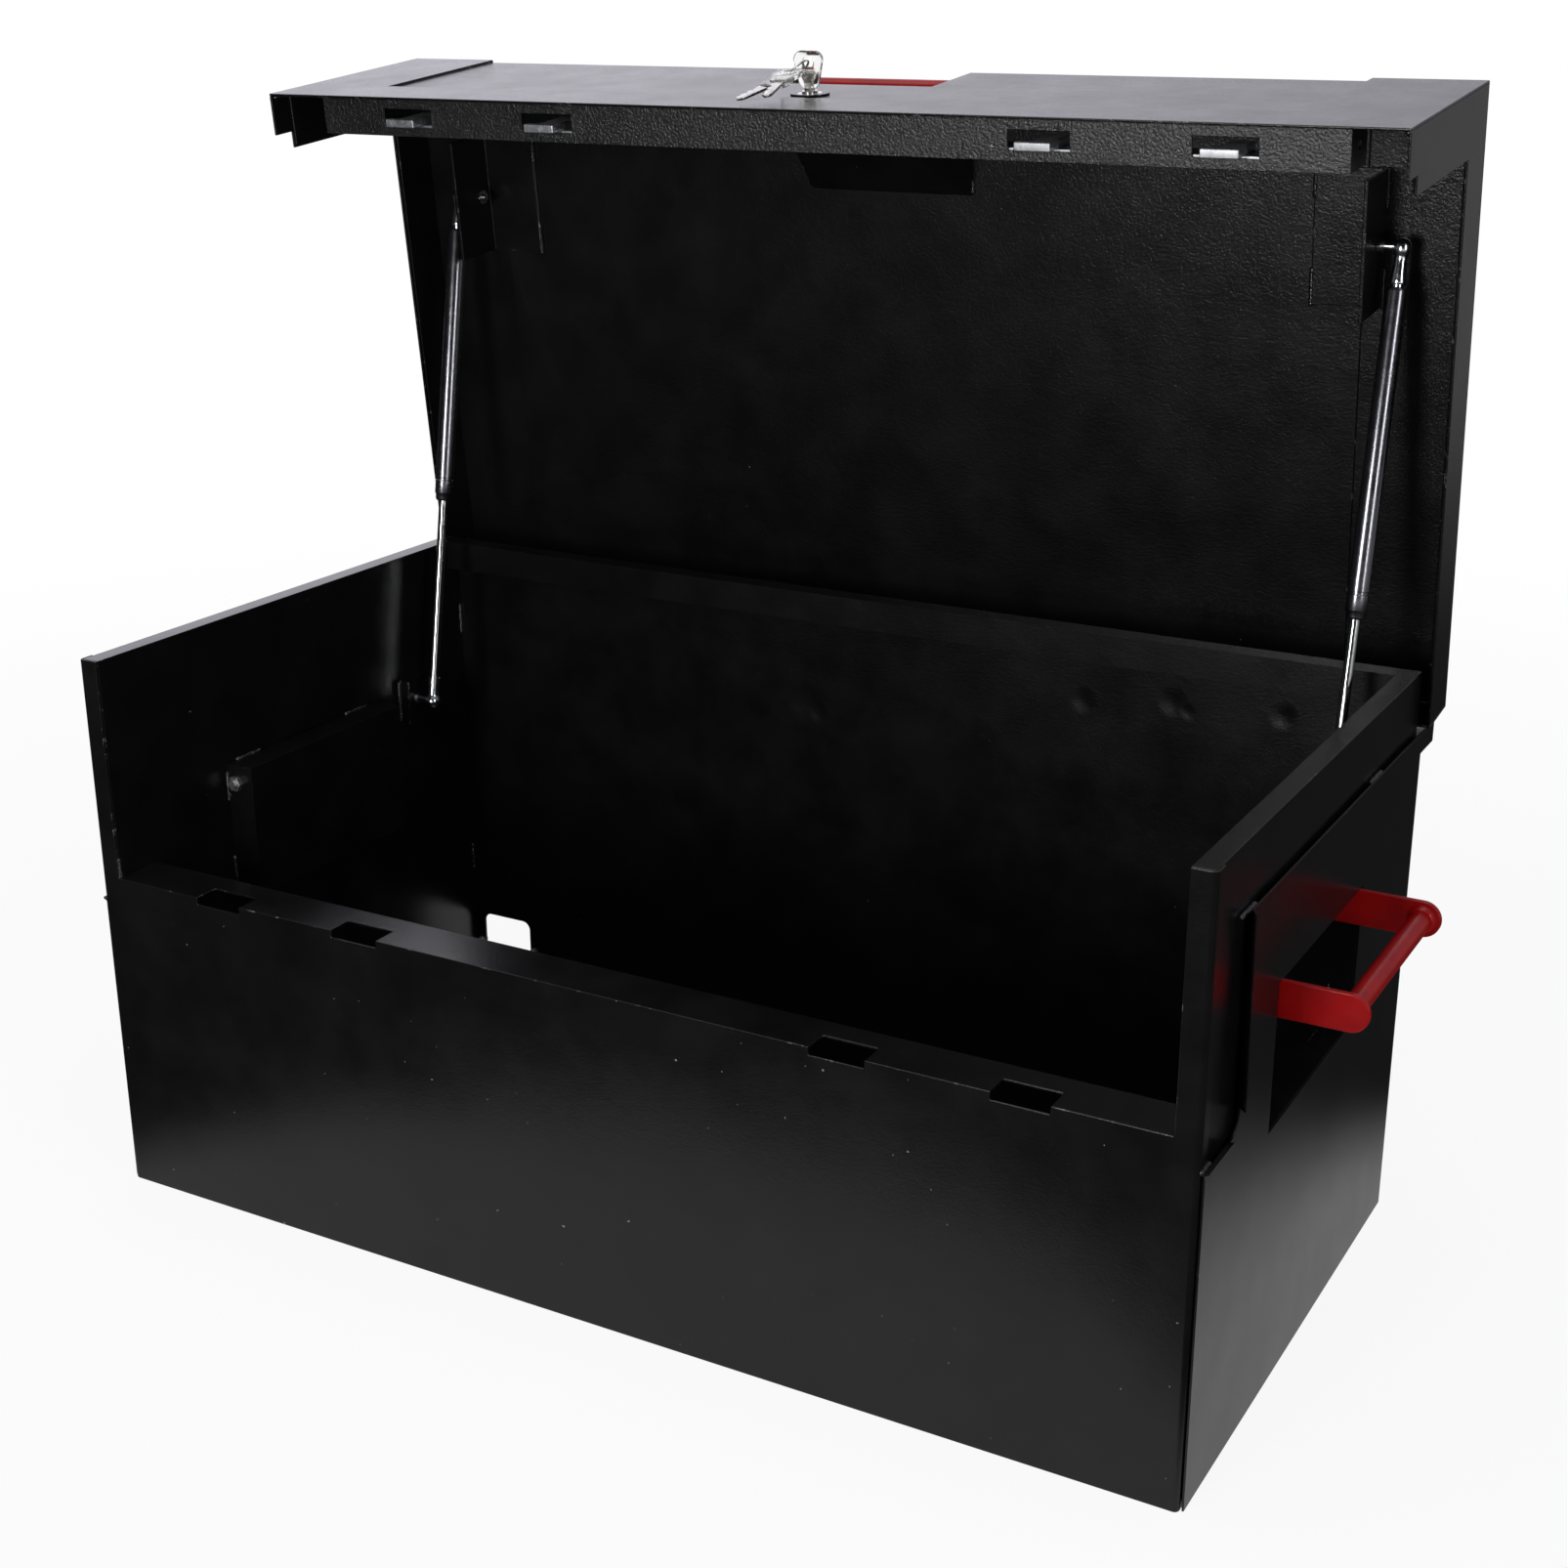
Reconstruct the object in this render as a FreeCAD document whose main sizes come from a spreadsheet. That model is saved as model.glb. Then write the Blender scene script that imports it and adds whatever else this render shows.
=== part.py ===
import FreeCAD, Part
import math
import os
import re
import Sketcher

# Steel tool trunk with a propped lid, four hook latches, two gas struts and two drop handles.
# Millimetres. X runs across the trunk, Y from front to back, Z up from the floor.
# The origin is on the floor under the middle of the trunk's base.

doc = FreeCAD.newDocument("ToolTrunk")
sizes = doc.addObject("Spreadsheet::Sheet", "Sizes")

DRIVING = {
    # Trunk body
    "body_wide": 915, "body_deep": 459, "body_tall": 449, "wall": 2, "panel_half": 456.5,
    "front_tall": 271, "lip_deep": 42, "bend_radius": 4, "corner_return": 14,
    "post_wide": 18.5, "rear_rim": 19, "rear_rim_drop": 25, "frame_drop": 205,
    # Notches in the front lip, where the lid's hooks come down
    "hook_outer": 336, "hook_inner": 203.5, "notch_wide": 42, "notch_deep": 20, "notch_drop": 6,
    # Outer side skins
    "skin": 1.5, "skin_half": 459, "skin_tall": 402, "skin_start": 4, "skin_step": 66,
    "step_floor": 248, "step_round": 16, "flare_reach": 3, "flare_rise": 1.5, "flare_wide": 6,
    "flare_top": 4, "flare_foot": 266, "flare_root": 0.5, "ear_low": 385, "ear_reach": 35,
    # Handle recesses in the sides
    "recess_front": 131, "recess_rear": 325, "recess_low": 214, "recess_high": 327,
    "recess_deep": 46.5, "recess_plate": 1.5, "window_edge": 3,
    # Cable hole in the rear wall
    "cable_side": 403, "cable_low": 33, "cable_wide": 53, "cable_tall": 42, "cable_round": 8,
    "cable_bolt": 2, "cable_bolt_gap": 31, "cable_bolt_height": 46, "cable_head": 3.8,
    "cable_nut": 2.8,
    # Hinge rail and hinge
    "ledge_high": 397.5, "ledge_drop": 13, "hinge_out": 4.5, "hinge_high": 402.5,
    "hinge_half": 440, "leaf": 1.5, "knuckle": 4, "hinge_pin": 2, "pin_play": 0.06, "knuckle_gap": 0.4,
    "leaf_wide": 22, "knuckle_pitch": 40, "knuckle_clear": 0.5,
    # Lid
    "lid_half": 462, "lid_plate": 2, "lid_top": 453, "lid_front": 4, "lid_rear": 5, "apron_low": 258,
    "lid_side": 46, "lid_end_notch": 13, "lid_end_tall": 20, "rear_flange": 46, "lid_angle": 84,
    "field_half": 380, "field_step": 2, "field_low": 308, "field_ramp": 6, "field_rear": 34,
    "doubler": 1.5, "doubler_inset": 21, "doubler_edge": 2,
    # Pull pocket and bar in the lid's front edge
    "pull_half": 70, "pull_low": 382.5, "pull_deep": 92, "pull_plate": 1.5,
    "pull_bar": 7, "pull_bar_back": 13, "pull_bar_high": 438,
    # Lock channel, bar and hooks
    "channel_half": 420, "channel_low": 273.5, "channel_deep": 30.5, "channel_tall": 35,
    "channel_plate": 1.5, "slot_wide": 46, "slot_deep": 14, "slot_back": 14.5,
    "hook_back": 17, "hook_thick": 6.3, "hook_low": 262.5, "hook_nose": 5.8,
    "hook_left": 14, "hook_right": 13, "hook_neck": 17,
    "bar_half": 372, "bar_low": 276, "bar_tall": 22, "bar_thick": 3, "rivet_hole": 3,
    "strap_wide": 24, "strap_thick": 2, "strap_slot": 10, "strap_gap": 2, "strap_over": 5,
    # Lock and keys
    "lock_side": -5.5, "lock_high": 333, "escutcheon_wide": 15.5, "escutcheon_tall": 12,
    "escutcheon_thick": 1.5, "housing": 9.5, "housing_long": 26, "plug": 6, "plug_play": 0.06,
    "plug_proud": 1.5, "plug_slit": 22, "cam_gap": 1, "cam_long": 16, "cam_wide": 11, "cam_thick": 3,
    "cam_pin": 2.5, "cam_pin_reach": 13, "cam_pin_long": 5,
    "bow_wide": 24, "bow_tall": 27, "bow_thick": 3, "bow_gap": 1.5, "bow_hole": 4.5, "bow_round": 7,
    "bow_eye": 8,
    "blade_wide": 8, "blade_thick": 2, "blade_long": 26, "ring_out": 13.5, "ring_wire": 0.9,
    "ring_drop": 8.4, "ring_turn": 45, "ring_step": 11, "spare_fan": 14, "spare_skew": 8, "spare_rest": 3,
    # Gas struts
    "strut_side": 414.5, "foot_back": 376.5, "foot_high": 317, "head_back": 108, "head_high": 430,
    "cylinder": 8, "cylinder_wall": 1.2, "cylinder_long": 238, "strut_rod": 4, "rod_play": 0.08,
    "cylinder_end": 4, "piston_inset": 18, "piston_long": 10, "piston_play": 0.1,
    "socket": 6.5, "ball": 5, "ball_play": 0.06, "collar": 4,
    "ball_neck": 3, "neck_play": 1.2, "head_socket": 28, "foot_socket": 22, "socket_end": 6.5,
    "stud_gap": 0.4,
    # Strut brackets
    "bracket_plate": 3, "head_plate_side": 393.5, "head_pad": 49, "head_front": 57, "head_long": 100,
    "head_tall": 50, "foot_wide": 34, "foot_tall": 40, "foot_rib": 10, "nut": 6.5, "nut_thick": 5,
    "thread_proud": 3,
    # Drop handles
    "pivot_side": 428.5, "pivot_high": 312, "pivot": 4, "pivot_play": 0.08, "pivot_end": 7,
    "arm_tall": 27, "arm_thick": 4.5, "arm_inset": 5, "handle_reach": 76, "handle_bar": 8,
    # How far a cut runs past the metal
    "past": 1, "far_past": 10,
}

for row, (word, number) in enumerate(DRIVING.items(), start=1):
    sizes.set(f"A{row}", word)
    sizes.set(f"B{row}", str(number))
    sizes.setAlias(f"B{row}", word)
doc.recompute()


def size(word):
    """A driving dimension as a number."""
    return float(sizes.get(word))


def bind(target, slot, text):
    """Bind a property to a formula in the driving dimensions."""
    formula = re.sub(r"[a-z][a-z_]+", lambda found: "Sizes." + found.group(), str(text))
    target.setExpression(slot, formula)


# Places that several pieces share, as formulas

FRONT = "-body_deep / 2"
REAR = "body_deep / 2"
LID_FACE = f"{FRONT} - lid_front"
LID_BACK = f"{REAR} + lid_rear"
HINGE_BACK = f"{REAR} + hinge_out"


def back(text):
    """A distance behind the trunk's front face."""
    return f"{FRONT} + {text}"


def sided(side, near, far):
    """A pair of X limits on the left (-1) or right (1), from distances off the middle."""
    return (near, far) if side > 0 else (f"-({far})", f"-({near})")


SIDES = {"left": -1, "right": 1}
HOOK_PLACES = ("-hook_outer", "-hook_inner", "hook_inner", "hook_outer")
NEAR = 0.1
PLANE_OF = {"X": "YZ_Plane", "Y": "XZ_Plane", "Z": "XY_Plane"}


# Modelling helpers

def new_body(name):
    """An empty body for one piece."""
    body = doc.addObject("PartDesign::Body", name)
    body.Label = name
    return body


def new_sketch(body, axis, offset="0"):
    """A sketch square to an axis, at a distance along it."""
    plane = next(one for one in body.Origin.OriginFeatures if one.Role == PLANE_OF[axis])
    sketch = body.newObject("Sketcher::SketchObject", body.Name + "_sketch")
    sketch.AttachmentSupport = [(plane, "")]
    sketch.MapMode = "FlatFace"
    bind(sketch, "AttachmentOffset.Base.z", f"-({offset})" if axis == "Y" else offset)
    return sketch


def pin_point(sketch, item, end, across, up):
    """Fix one point of a sketch by its two formulas."""
    for kind, text in (("DistanceX", across), ("DistanceY", up)):
        index = sketch.addConstraint(Sketcher.Constraint(kind, -1, 1, item, end, 1.0))
        bind(sketch, f"Constraints[{index}]", text)


def add_polygon(sketch, points):
    """A closed outline through pairs of formulas."""
    count = len(points)
    start = sketch.GeometryCount
    spots = [FreeCAD.Vector(math.cos(2 * math.pi * k / count), math.sin(2 * math.pi * k / count), 0)
             for k in range(count)]
    for k in range(count):
        sketch.addGeometry(Part.LineSegment(spots[k], spots[(k + 1) % count]), False)
    for k in range(count):
        sketch.addConstraint(Sketcher.Constraint("Coincident", start + k, 2, start + (k + 1) % count, 1))
    for k, (across, up) in enumerate(points):
        pin_point(sketch, start + k, 1, across, up)


def rectangle(across, up):
    """The four corners of a rectangle of formulas."""
    return [(across[0], up[0]), (across[1], up[0]), (across[1], up[1]), (across[0], up[1])]


def add_rectangle(sketch, across, up):
    """A rectangle between two pairs of formulas."""
    add_polygon(sketch, rectangle(across, up))


def add_circle(sketch, across, up, radius):
    """A circle about a point."""
    item = sketch.addGeometry(Part.Circle(FreeCAD.Vector(1, 1, 0), FreeCAD.Vector(0, 0, 1), 1.0), False)
    pin_point(sketch, item, 3, across, up)
    index = sketch.addConstraint(Sketcher.Constraint("Radius", item, 1.0))
    bind(sketch, f"Constraints[{index}]", radius)


def pad(body, sketch, length, both_ways=False):
    """Grow a sketch along its positive axis, or half each way."""
    growth = body.newObject("PartDesign::Pad", body.Name + "_pad")
    growth.Profile = sketch
    growth.Midplane = both_ways
    growth.Reversed = sketch.AttachmentSupport[0][0].Role == PLANE_OF["Y"] and not both_ways
    bind(growth, "Length", length)


def pocket(body, sketch, length="2 * body_wide"):
    """Cut a sketch through the piece, half the length each way."""
    hole = body.newObject("PartDesign::Pocket", body.Name + "_pocket")
    hole.Profile = sketch
    hole.Midplane = True
    bind(hole, "Length", length)


def round_edges(body, radius, wanted):
    """Round the edges whose middle passes a test."""
    doc.recompute()
    tip = body.Tip
    names = []
    for number, edge in enumerate(tip.Shape.Edges, start=1):
        middle = edge.valueAt((edge.FirstParameter + edge.LastParameter) / 2)
        if wanted(middle, edge):
            names.append(f"Edge{number}")
    fillet = body.newObject("PartDesign::Fillet", body.Name + "_round")
    fillet.Base = (tip, names)
    bind(fillet, "Radius", radius)


def prism(name, axis, outlines, start, length, both_ways=False):
    """A body of one or more outlines grown along an axis."""
    body = new_body(name)
    sketch = new_sketch(body, axis, start)
    for points in outlines:
        add_polygon(sketch, points)
    pad(body, sketch, length, both_ways)
    return body


def block(name, across, deep, up):
    """A box between three pairs of formulas."""
    box = doc.addObject("Part::Box", name)
    for slot, place, pair in (("Length", "x", across), ("Width", "y", deep), ("Height", "z", up)):
        bind(box, slot, f"({pair[1]}) - ({pair[0]})")
        bind(box, "Placement.Base." + place, pair[0])
    return box


TURN_OF = {
    "X": FreeCAD.Rotation(FreeCAD.Vector(0, 1, 0), 90),
    "Y": FreeCAD.Rotation(FreeCAD.Vector(1, 0, 0), -90),
    "Z": FreeCAD.Rotation(),
}


def place_along(item, axis, spot):
    """Turn an upright item along an axis, with its foot at a spot."""
    item.Placement = FreeCAD.Placement(FreeCAD.Vector(), TURN_OF[axis])
    for place, text in zip("xyz", spot):
        bind(item, "Placement.Base." + place, text)


def tube(name, axis, radius, spot, length):
    """A cylinder from a spot along the positive direction of an axis."""
    round_bar = doc.addObject("Part::Cylinder", name)
    bind(round_bar, "Radius", radius)
    bind(round_bar, "Height", length)
    place_along(round_bar, axis, spot)
    return round_bar


def hexagon(name, axis, radius, spot, length):
    """A hexagonal nut blank from a spot along an axis."""
    nut = doc.addObject("Part::Prism", name)
    nut.Polygon = 6
    bind(nut, "Circumradius", radius)
    bind(nut, "Height", length)
    place_along(nut, axis, spot)
    return nut


def fuse(name, parts):
    """One solid from touching parts."""
    whole = doc.addObject("Part::MultiFuse", name)
    whole.Shapes = parts
    whole.Refine = True
    whole.Label = name
    return whole


def cut(name, base, tool):
    """A piece less a tool."""
    rest = doc.addObject("Part::Cut", name)
    rest.Base = base
    rest.Tool = tool
    rest.Refine = True
    rest.Label = name
    return rest


def group(name, parts):
    """Alike pieces that share a name and stay apart."""
    together = doc.addObject("Part::Compound", name)
    together.Links = parts
    together.Label = name
    return together


def feature(name, shape):
    """A piece whose shape is worked out here."""
    piece = doc.addObject("Part::Feature", name)
    piece.Shape = shape
    piece.Label = name
    return piece


nodes = {}


def keep(piece, pose=None):
    """List a finished piece, and set it in its pose."""
    if pose is not None:
        piece.Placement = pose
    nodes[piece.Label] = piece
    return piece


# Poses

def about_x(back_y, high_z, degrees):
    """A turn about a line along X."""
    centre = FreeCAD.Vector(0, back_y, high_z)
    return FreeCAD.Placement(FreeCAD.Vector(), FreeCAD.Rotation(FreeCAD.Vector(1, 0, 0), degrees), centre)


hinge_y = size("body_deep") / 2 + size("hinge_out")
hinge_z = size("hinge_high")
LID_OPEN = about_x(hinge_y, hinge_z, -size("lid_angle"))

foot_y = size("foot_back") - size("body_deep") / 2
foot_z = size("foot_high")
head_closed = FreeCAD.Vector(0, size("head_back") - size("body_deep") / 2, size("head_high"))
head_open = LID_OPEN.multVec(head_closed)
strut_rise = math.degrees(math.atan2(head_open.z - foot_z, head_open.y - foot_y))
strut_open_long = math.hypot(head_open.y - foot_y, head_open.z - foot_z)
STRUT_POSE = {
    side: FreeCAD.Placement(
        FreeCAD.Vector(side * size("strut_side"), foot_y, foot_z),
        FreeCAD.Rotation(FreeCAD.Vector(1, 0, 0), strut_rise - 90))
    for side in SIDES.values()
}


# Trunk body

def make_front_panel():
    """Lower front wall with its folded lip, the two post faces and the corner returns, one folded sheet."""
    body = new_body("front_panel")
    half = "panel_half"
    post = "body_wide / 2 - post_wide"
    sketch = new_sketch(body, "Y", FRONT)
    add_polygon(sketch, [
        (f"-{half}", "0"), (half, "0"), (half, "body_tall"), (post, "body_tall"), (post, "front_tall"),
        (f"-({post})", "front_tall"), (f"-({post})", "body_tall"), (f"-{half}", "body_tall"),
    ])
    pad(body, sketch, "wall")
    lip = new_sketch(body, "X")
    add_rectangle(lip, (FRONT, back("lip_deep")), ("front_tall - wall", "front_tall"))
    pad(body, lip, f"2 * ({post})", both_ways=True)
    for side in SIDES.values():
        fold = new_sketch(body, "X", sided(side, f"{half} - wall", half)[0])
        add_rectangle(fold, (FRONT, back("corner_return")), ("0", "body_tall"))
        pad(body, fold, "wall")
    notches = new_sketch(body, "Y", back("notch_deep / 2"))
    for centre in HOOK_PLACES:
        add_rectangle(notches, (f"{centre} - notch_wide / 2", f"{centre} + notch_wide / 2"),
                      ("front_tall - notch_drop", "front_tall + wall"))
    pocket(body, notches, "notch_deep + wall")
    limit = size("front_tall")
    face = -size("body_deep") / 2

    def is_corner(middle, edge):
        upright = edge.BoundBox.ZLength > limit
        outer = abs(middle.y - face) < NEAR and abs(abs(middle.x) - size("panel_half")) < NEAR
        return upright and outer

    round_edges(body, "bend_radius", is_corner)
    return keep(body)


def make_floor_panel():
    """Flat floor between the walls, notched round the front panel's corner returns."""
    wide = "skin_half - skin"
    narrow = "panel_half - wall"
    near = f"{FRONT} + wall"
    step = back("corner_return")
    far = f"{REAR} - wall"
    outline = [
        (f"-({narrow})", near), (narrow, near), (narrow, step), (wide, step), (wide, far),
        (f"-({wide})", far), (f"-({wide})", step), (f"-({narrow})", step),
    ]
    return keep(prism("floor_panel", "Z", [outline], "0", "wall"))


def make_rear_panel():
    """Rear wall with its folded rim and the cable hole."""
    body = new_body("rear_panel")
    section = new_sketch(body, "X")
    inner = f"{REAR} - rear_rim"
    add_polygon(section, [
        (REAR, "0"), (REAR, "body_tall"), (inner, "body_tall"), (inner, "body_tall - rear_rim_drop"),
        (f"{inner} + wall", "body_tall - rear_rim_drop"), (f"{inner} + wall", "body_tall - wall"),
        (f"{REAR} - wall", "body_tall - wall"), (f"{REAR} - wall", "0"),
    ])
    pad(body, section, "2 * panel_half - 2 * wall", both_ways=True)
    rim_ends = new_sketch(body, "Z", "body_tall")
    for side in SIDES.values():
        across = sided(side, "body_wide / 2 - post_wide", "body_wide / 2")
        add_rectangle(rim_ends, across, (f"{inner} - past", f"{REAR} - wall"))
    pocket(body, rim_ends, "4 * rear_rim_drop")
    hole = new_sketch(body, "Y", REAR)
    across = ("-cable_side - cable_wide / 2", "-cable_side + cable_wide / 2")
    add_rectangle(hole, across, ("cable_low", "cable_low + cable_tall"))
    pocket(body, hole, "6 * wall")
    for place in ("- cable_bolt_gap", "+ cable_bolt_gap"):
        bolt = new_sketch(body, "Y", REAR)
        add_circle(bolt, f"-cable_side {place}", "cable_bolt_height", "cable_bolt")
        pocket(body, bolt, "6 * wall")

    def is_hole_corner(middle, edge):
        across_x = abs(abs(middle.x + size("cable_side")) - size("cable_wide") / 2) < NEAR
        short = abs(edge.Length - size("wall")) < NEAR
        return across_x and short and middle.z < size("front_tall") / 2

    round_edges(body, "cable_round", is_hole_corner)
    return keep(body)


def make_side_frame(word, side):
    """Hollow side wall: inner wall, top rim and a shorter outer wall, one folded sheet."""
    body = new_body(f"side_frame_{word}")
    section = new_sketch(body, "Y")
    inner = "body_wide / 2 - post_wide"
    outer = "panel_half - wall"
    sign = "" if side > 0 else "-"
    corners = [
        (inner, "wall"), (inner, "body_tall"), (outer, "body_tall"), (outer, "frame_drop"),
        (f"{outer} - wall", "frame_drop"), (f"{outer} - wall", "body_tall - wall"),
        (f"{inner} + wall", "body_tall - wall"), (f"{inner} + wall", "wall"),
    ]
    add_polygon(section, [(f"{sign}({across})", up) for across, up in corners])
    pad(body, section, "body_deep - 2 * wall", both_ways=True)
    opening = new_sketch(body, "X")
    add_rectangle(opening, (back("recess_front"), back("recess_rear")), ("recess_low", "recess_high"))
    pocket(body, opening)
    clear = new_sketch(body, "X", f"{sign}({outer})")
    add_rectangle(clear, (back("recess_front - window_edge"), REAR),
                  ("frame_drop - wall", "recess_high + window_edge"))
    pocket(body, clear, "4 * wall")
    return keep(body)


def make_side_skin(word, side):
    """Outer side plate with the handle window, the front step and its flared lead-in, and the rear ear."""
    body = new_body(f"side_skin_{word}")
    sketch = new_sketch(body, "X", sided(side, "skin_half - skin", "skin_half")[0])
    add_polygon(sketch, [
        (back("skin_start"), "0"), (REAR, "0"), (REAR, "ear_low"), (f"{REAR} + ear_reach", "ear_low"),
        (f"{REAR} + ear_reach", "skin_tall"), (back("skin_step"), "skin_tall"),
        (back("skin_step"), "step_floor"), (back("skin_start"), "step_floor"),
    ])
    pad(body, sketch, "skin")
    window = new_sketch(body, "X")
    add_rectangle(window, (back("recess_front + recess_plate"), back("recess_rear - recess_plate")),
                  ("recess_low + recess_plate", "recess_high - recess_plate"))
    pocket(body, window)
    corner = FreeCAD.Vector(0, size("skin_step") - size("body_deep") / 2, size("step_floor"))

    def is_step_corner(middle, edge):
        return abs(middle.y - corner.y) < NEAR and abs(middle.z - corner.z) < NEAR

    round_edges(body, "step_round", is_step_corner)
    sign = "" if side > 0 else "-"
    foot = [("skin_half - skin", "step_floor - skin"), ("skin_half", "step_floor - skin"),
            ("skin_half + flare_reach", "step_floor + flare_rise - skin"),
            ("skin_half + flare_reach", "step_floor + flare_rise"),
            ("skin_half - skin", "step_floor")]
    ledge = new_sketch(body, "Y", back("skin_start"))
    add_polygon(ledge, [(f"{sign}({across})", up) for across, up in foot])
    pad(body, ledge, "skin_step - step_round - skin_start")
    loft = body.newObject("PartDesign::AdditiveLoft", body.Name + "_flare")
    levels = []
    for level, reach in (("flare_foot", "flare_wide"), ("skin_tall", "flare_top")):
        ring = new_sketch(body, "Z", level)
        lead = [("skin_half - skin", back("skin_step")), ("skin_half", back("skin_step + flare_root")),
                ("skin_half", back("skin_step")), (f"skin_half + {reach}", back("skin_step - flare_wide")),
                (f"skin_half + {reach} - skin", back("skin_step - flare_wide"))]
        add_polygon(ring, [(f"{sign}({across})", deep) for across, deep in lead])
        levels.append(ring)
    loft.Profile = levels[0]
    loft.Sections = levels[1:]
    loft.Ruled = True
    body.Tip = loft
    return keep(body)


def make_recess_box(word, side):
    """Tray behind the side window that the handle drops into."""
    outside = block(f"recess_{word}_outside", sided(side, "skin_half - recess_deep", "skin_half - skin"),
                    (back("recess_front"), back("recess_rear")), ("recess_low", "recess_high"))
    floor = "skin_half - recess_deep + recess_plate"
    inside = block(f"recess_{word}_inside", sided(side, floor, "skin_half"),
                   (back("recess_front + recess_plate"), back("recess_rear - recess_plate")),
                   ("recess_low + recess_plate", "recess_high - recess_plate"))
    tray = cut(f"recess_{word}_tray", outside, inside)
    bore = tube(f"recess_{word}_bore", "Y", "pivot",
                (f"{side} * pivot_side", back("recess_front - pivot_end"), "pivot_high"),
                "recess_rear - recess_front + 2 * pivot_end")
    return keep(cut(f"recess_box_{word}", tray, bore))


def make_rear_ledge():
    """Folded rail along the back, under the hinge."""
    section = [
        (REAR, "ledge_high - ledge_drop"), (f"{REAR} + wall", "ledge_high - ledge_drop"),
        (f"{REAR} + wall", "ledge_high - wall"), (f"{REAR} + ear_reach - wall", "ledge_high - wall"),
        (f"{REAR} + ear_reach - wall", "ledge_high - ledge_drop"),
        (f"{REAR} + ear_reach", "ledge_high - ledge_drop"), (f"{REAR} + ear_reach", "ledge_high"),
        (REAR, "ledge_high"),
    ]
    return keep(prism("rear_ledge", "X", [section], "0", "2 * (skin_half - skin)", both_ways=True))


def make_cable_bolts():
    """Two round-headed bolts beside the cable hole."""
    bolts = []
    for place, shift in (("left", "- cable_bolt_gap"), ("right", "+ cable_bolt_gap")):
        across = f"-cable_side {shift}"
        shank = tube(f"cable_{place}_shank", "Y", "cable_bolt",
                     (across, f"{REAR} - 3 * wall", "cable_bolt_height"), "4 * wall")
        head = tube(f"cable_{place}_head", "Y", "cable_head", (across, REAR, "cable_bolt_height"), "wall")
        nut = hexagon(f"cable_{place}_nut", "Y", "cable_head",
                      (across, f"{REAR} - wall - cable_nut", "cable_bolt_height"), "cable_nut")
        bolts.append(fuse(f"cable_{place}_bolt", [shank, head, nut]))
    return keep(group("cable_hole_bolts", bolts))


# Hinge

def knuckle_numbers(parity):
    """Every second knuckle, counted from the left end."""
    return range(parity, round(2 * size("hinge_half") / size("knuckle_pitch")), 2)


def make_hinge_half(name, parity, leaf, pose=None):
    """One leaf of the long hinge with its knuckles, bored for the pin."""
    parts = [leaf]
    for number in knuckle_numbers(parity):
        start = f"-hinge_half + {number} * knuckle_pitch + knuckle_gap / 2"
        parts.append(tube(f"{name}_knuckle_{number}", "X", "knuckle", (start, HINGE_BACK, "hinge_high"),
                          "knuckle_pitch - knuckle_gap"))
        web = (start, f"{start} + knuckle_pitch - knuckle_gap")
        parts.append(leaf_web(f"{name}_web_{number}", parity, web))
    solid = fuse(f"{name}_solid", parts)
    bore = tube(f"{name}_bore", "X", "hinge_pin + pin_play" if parity else "hinge_pin",
                ("-hinge_half - past", HINGE_BACK, "hinge_high"), "2 * (hinge_half + past)")
    return keep(cut(name, solid, bore), pose)


def leaf_web(name, parity, across):
    """The strip that joins a knuckle to its leaf."""
    if parity:
        inner = f"{REAR} + lid_rear - lid_plate"
        return block(name, across, (f"{inner} - leaf", inner), ("hinge_high", "hinge_high + knuckle + leaf"))
    return block(name, across, (HINGE_BACK, f"{HINGE_BACK} + knuckle + leaf"),
                 ("ledge_high", "ledge_high + leaf"))


def make_hinge():
    """Long hinge: a leaf on the rear ledge, a leaf inside the lid's rear flange, and the pin."""
    whole = ("-hinge_half", "hinge_half")
    body_leaf = block("hinge_body_strip", whole,
                      (f"{HINGE_BACK} + knuckle + knuckle_clear", f"{HINGE_BACK} + leaf_wide"),
                      ("ledge_high", "ledge_high + leaf"))
    make_hinge_half("hinge_body_leaf", 0, body_leaf)
    inner = f"{REAR} + lid_rear - lid_plate"
    lid_leaf = block("hinge_lid_strip", whole, (f"{inner} - leaf", inner),
                     ("hinge_high + knuckle + knuckle_clear", "hinge_high + leaf_wide"))
    make_hinge_half("hinge_lid_leaf", 1, lid_leaf, LID_OPEN)
    pin = new_body("hinge_pin_rod")
    sketch = new_sketch(pin, "X")
    add_circle(sketch, HINGE_BACK, "hinge_high", "hinge_pin")
    pad(pin, sketch, "2 * hinge_half", both_ways=True)
    keep(pin)


# Lid, drawn shut and then turned open about the hinge

def plain_lid_section():
    """Outline of the folded lid sheet at its ends: apron, top and rear flange."""
    face = f"{LID_FACE} + lid_plate"
    rear = f"{LID_BACK} - lid_plate"
    return [
        (LID_FACE, "apron_low"), (LID_FACE, "lid_top"), (LID_BACK, "lid_top"),
        (LID_BACK, "lid_top - rear_flange"), (rear, "lid_top - rear_flange"),
        (rear, "lid_top - lid_plate"), (face, "lid_top - lid_plate"), (face, "apron_low"),
    ]


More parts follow.
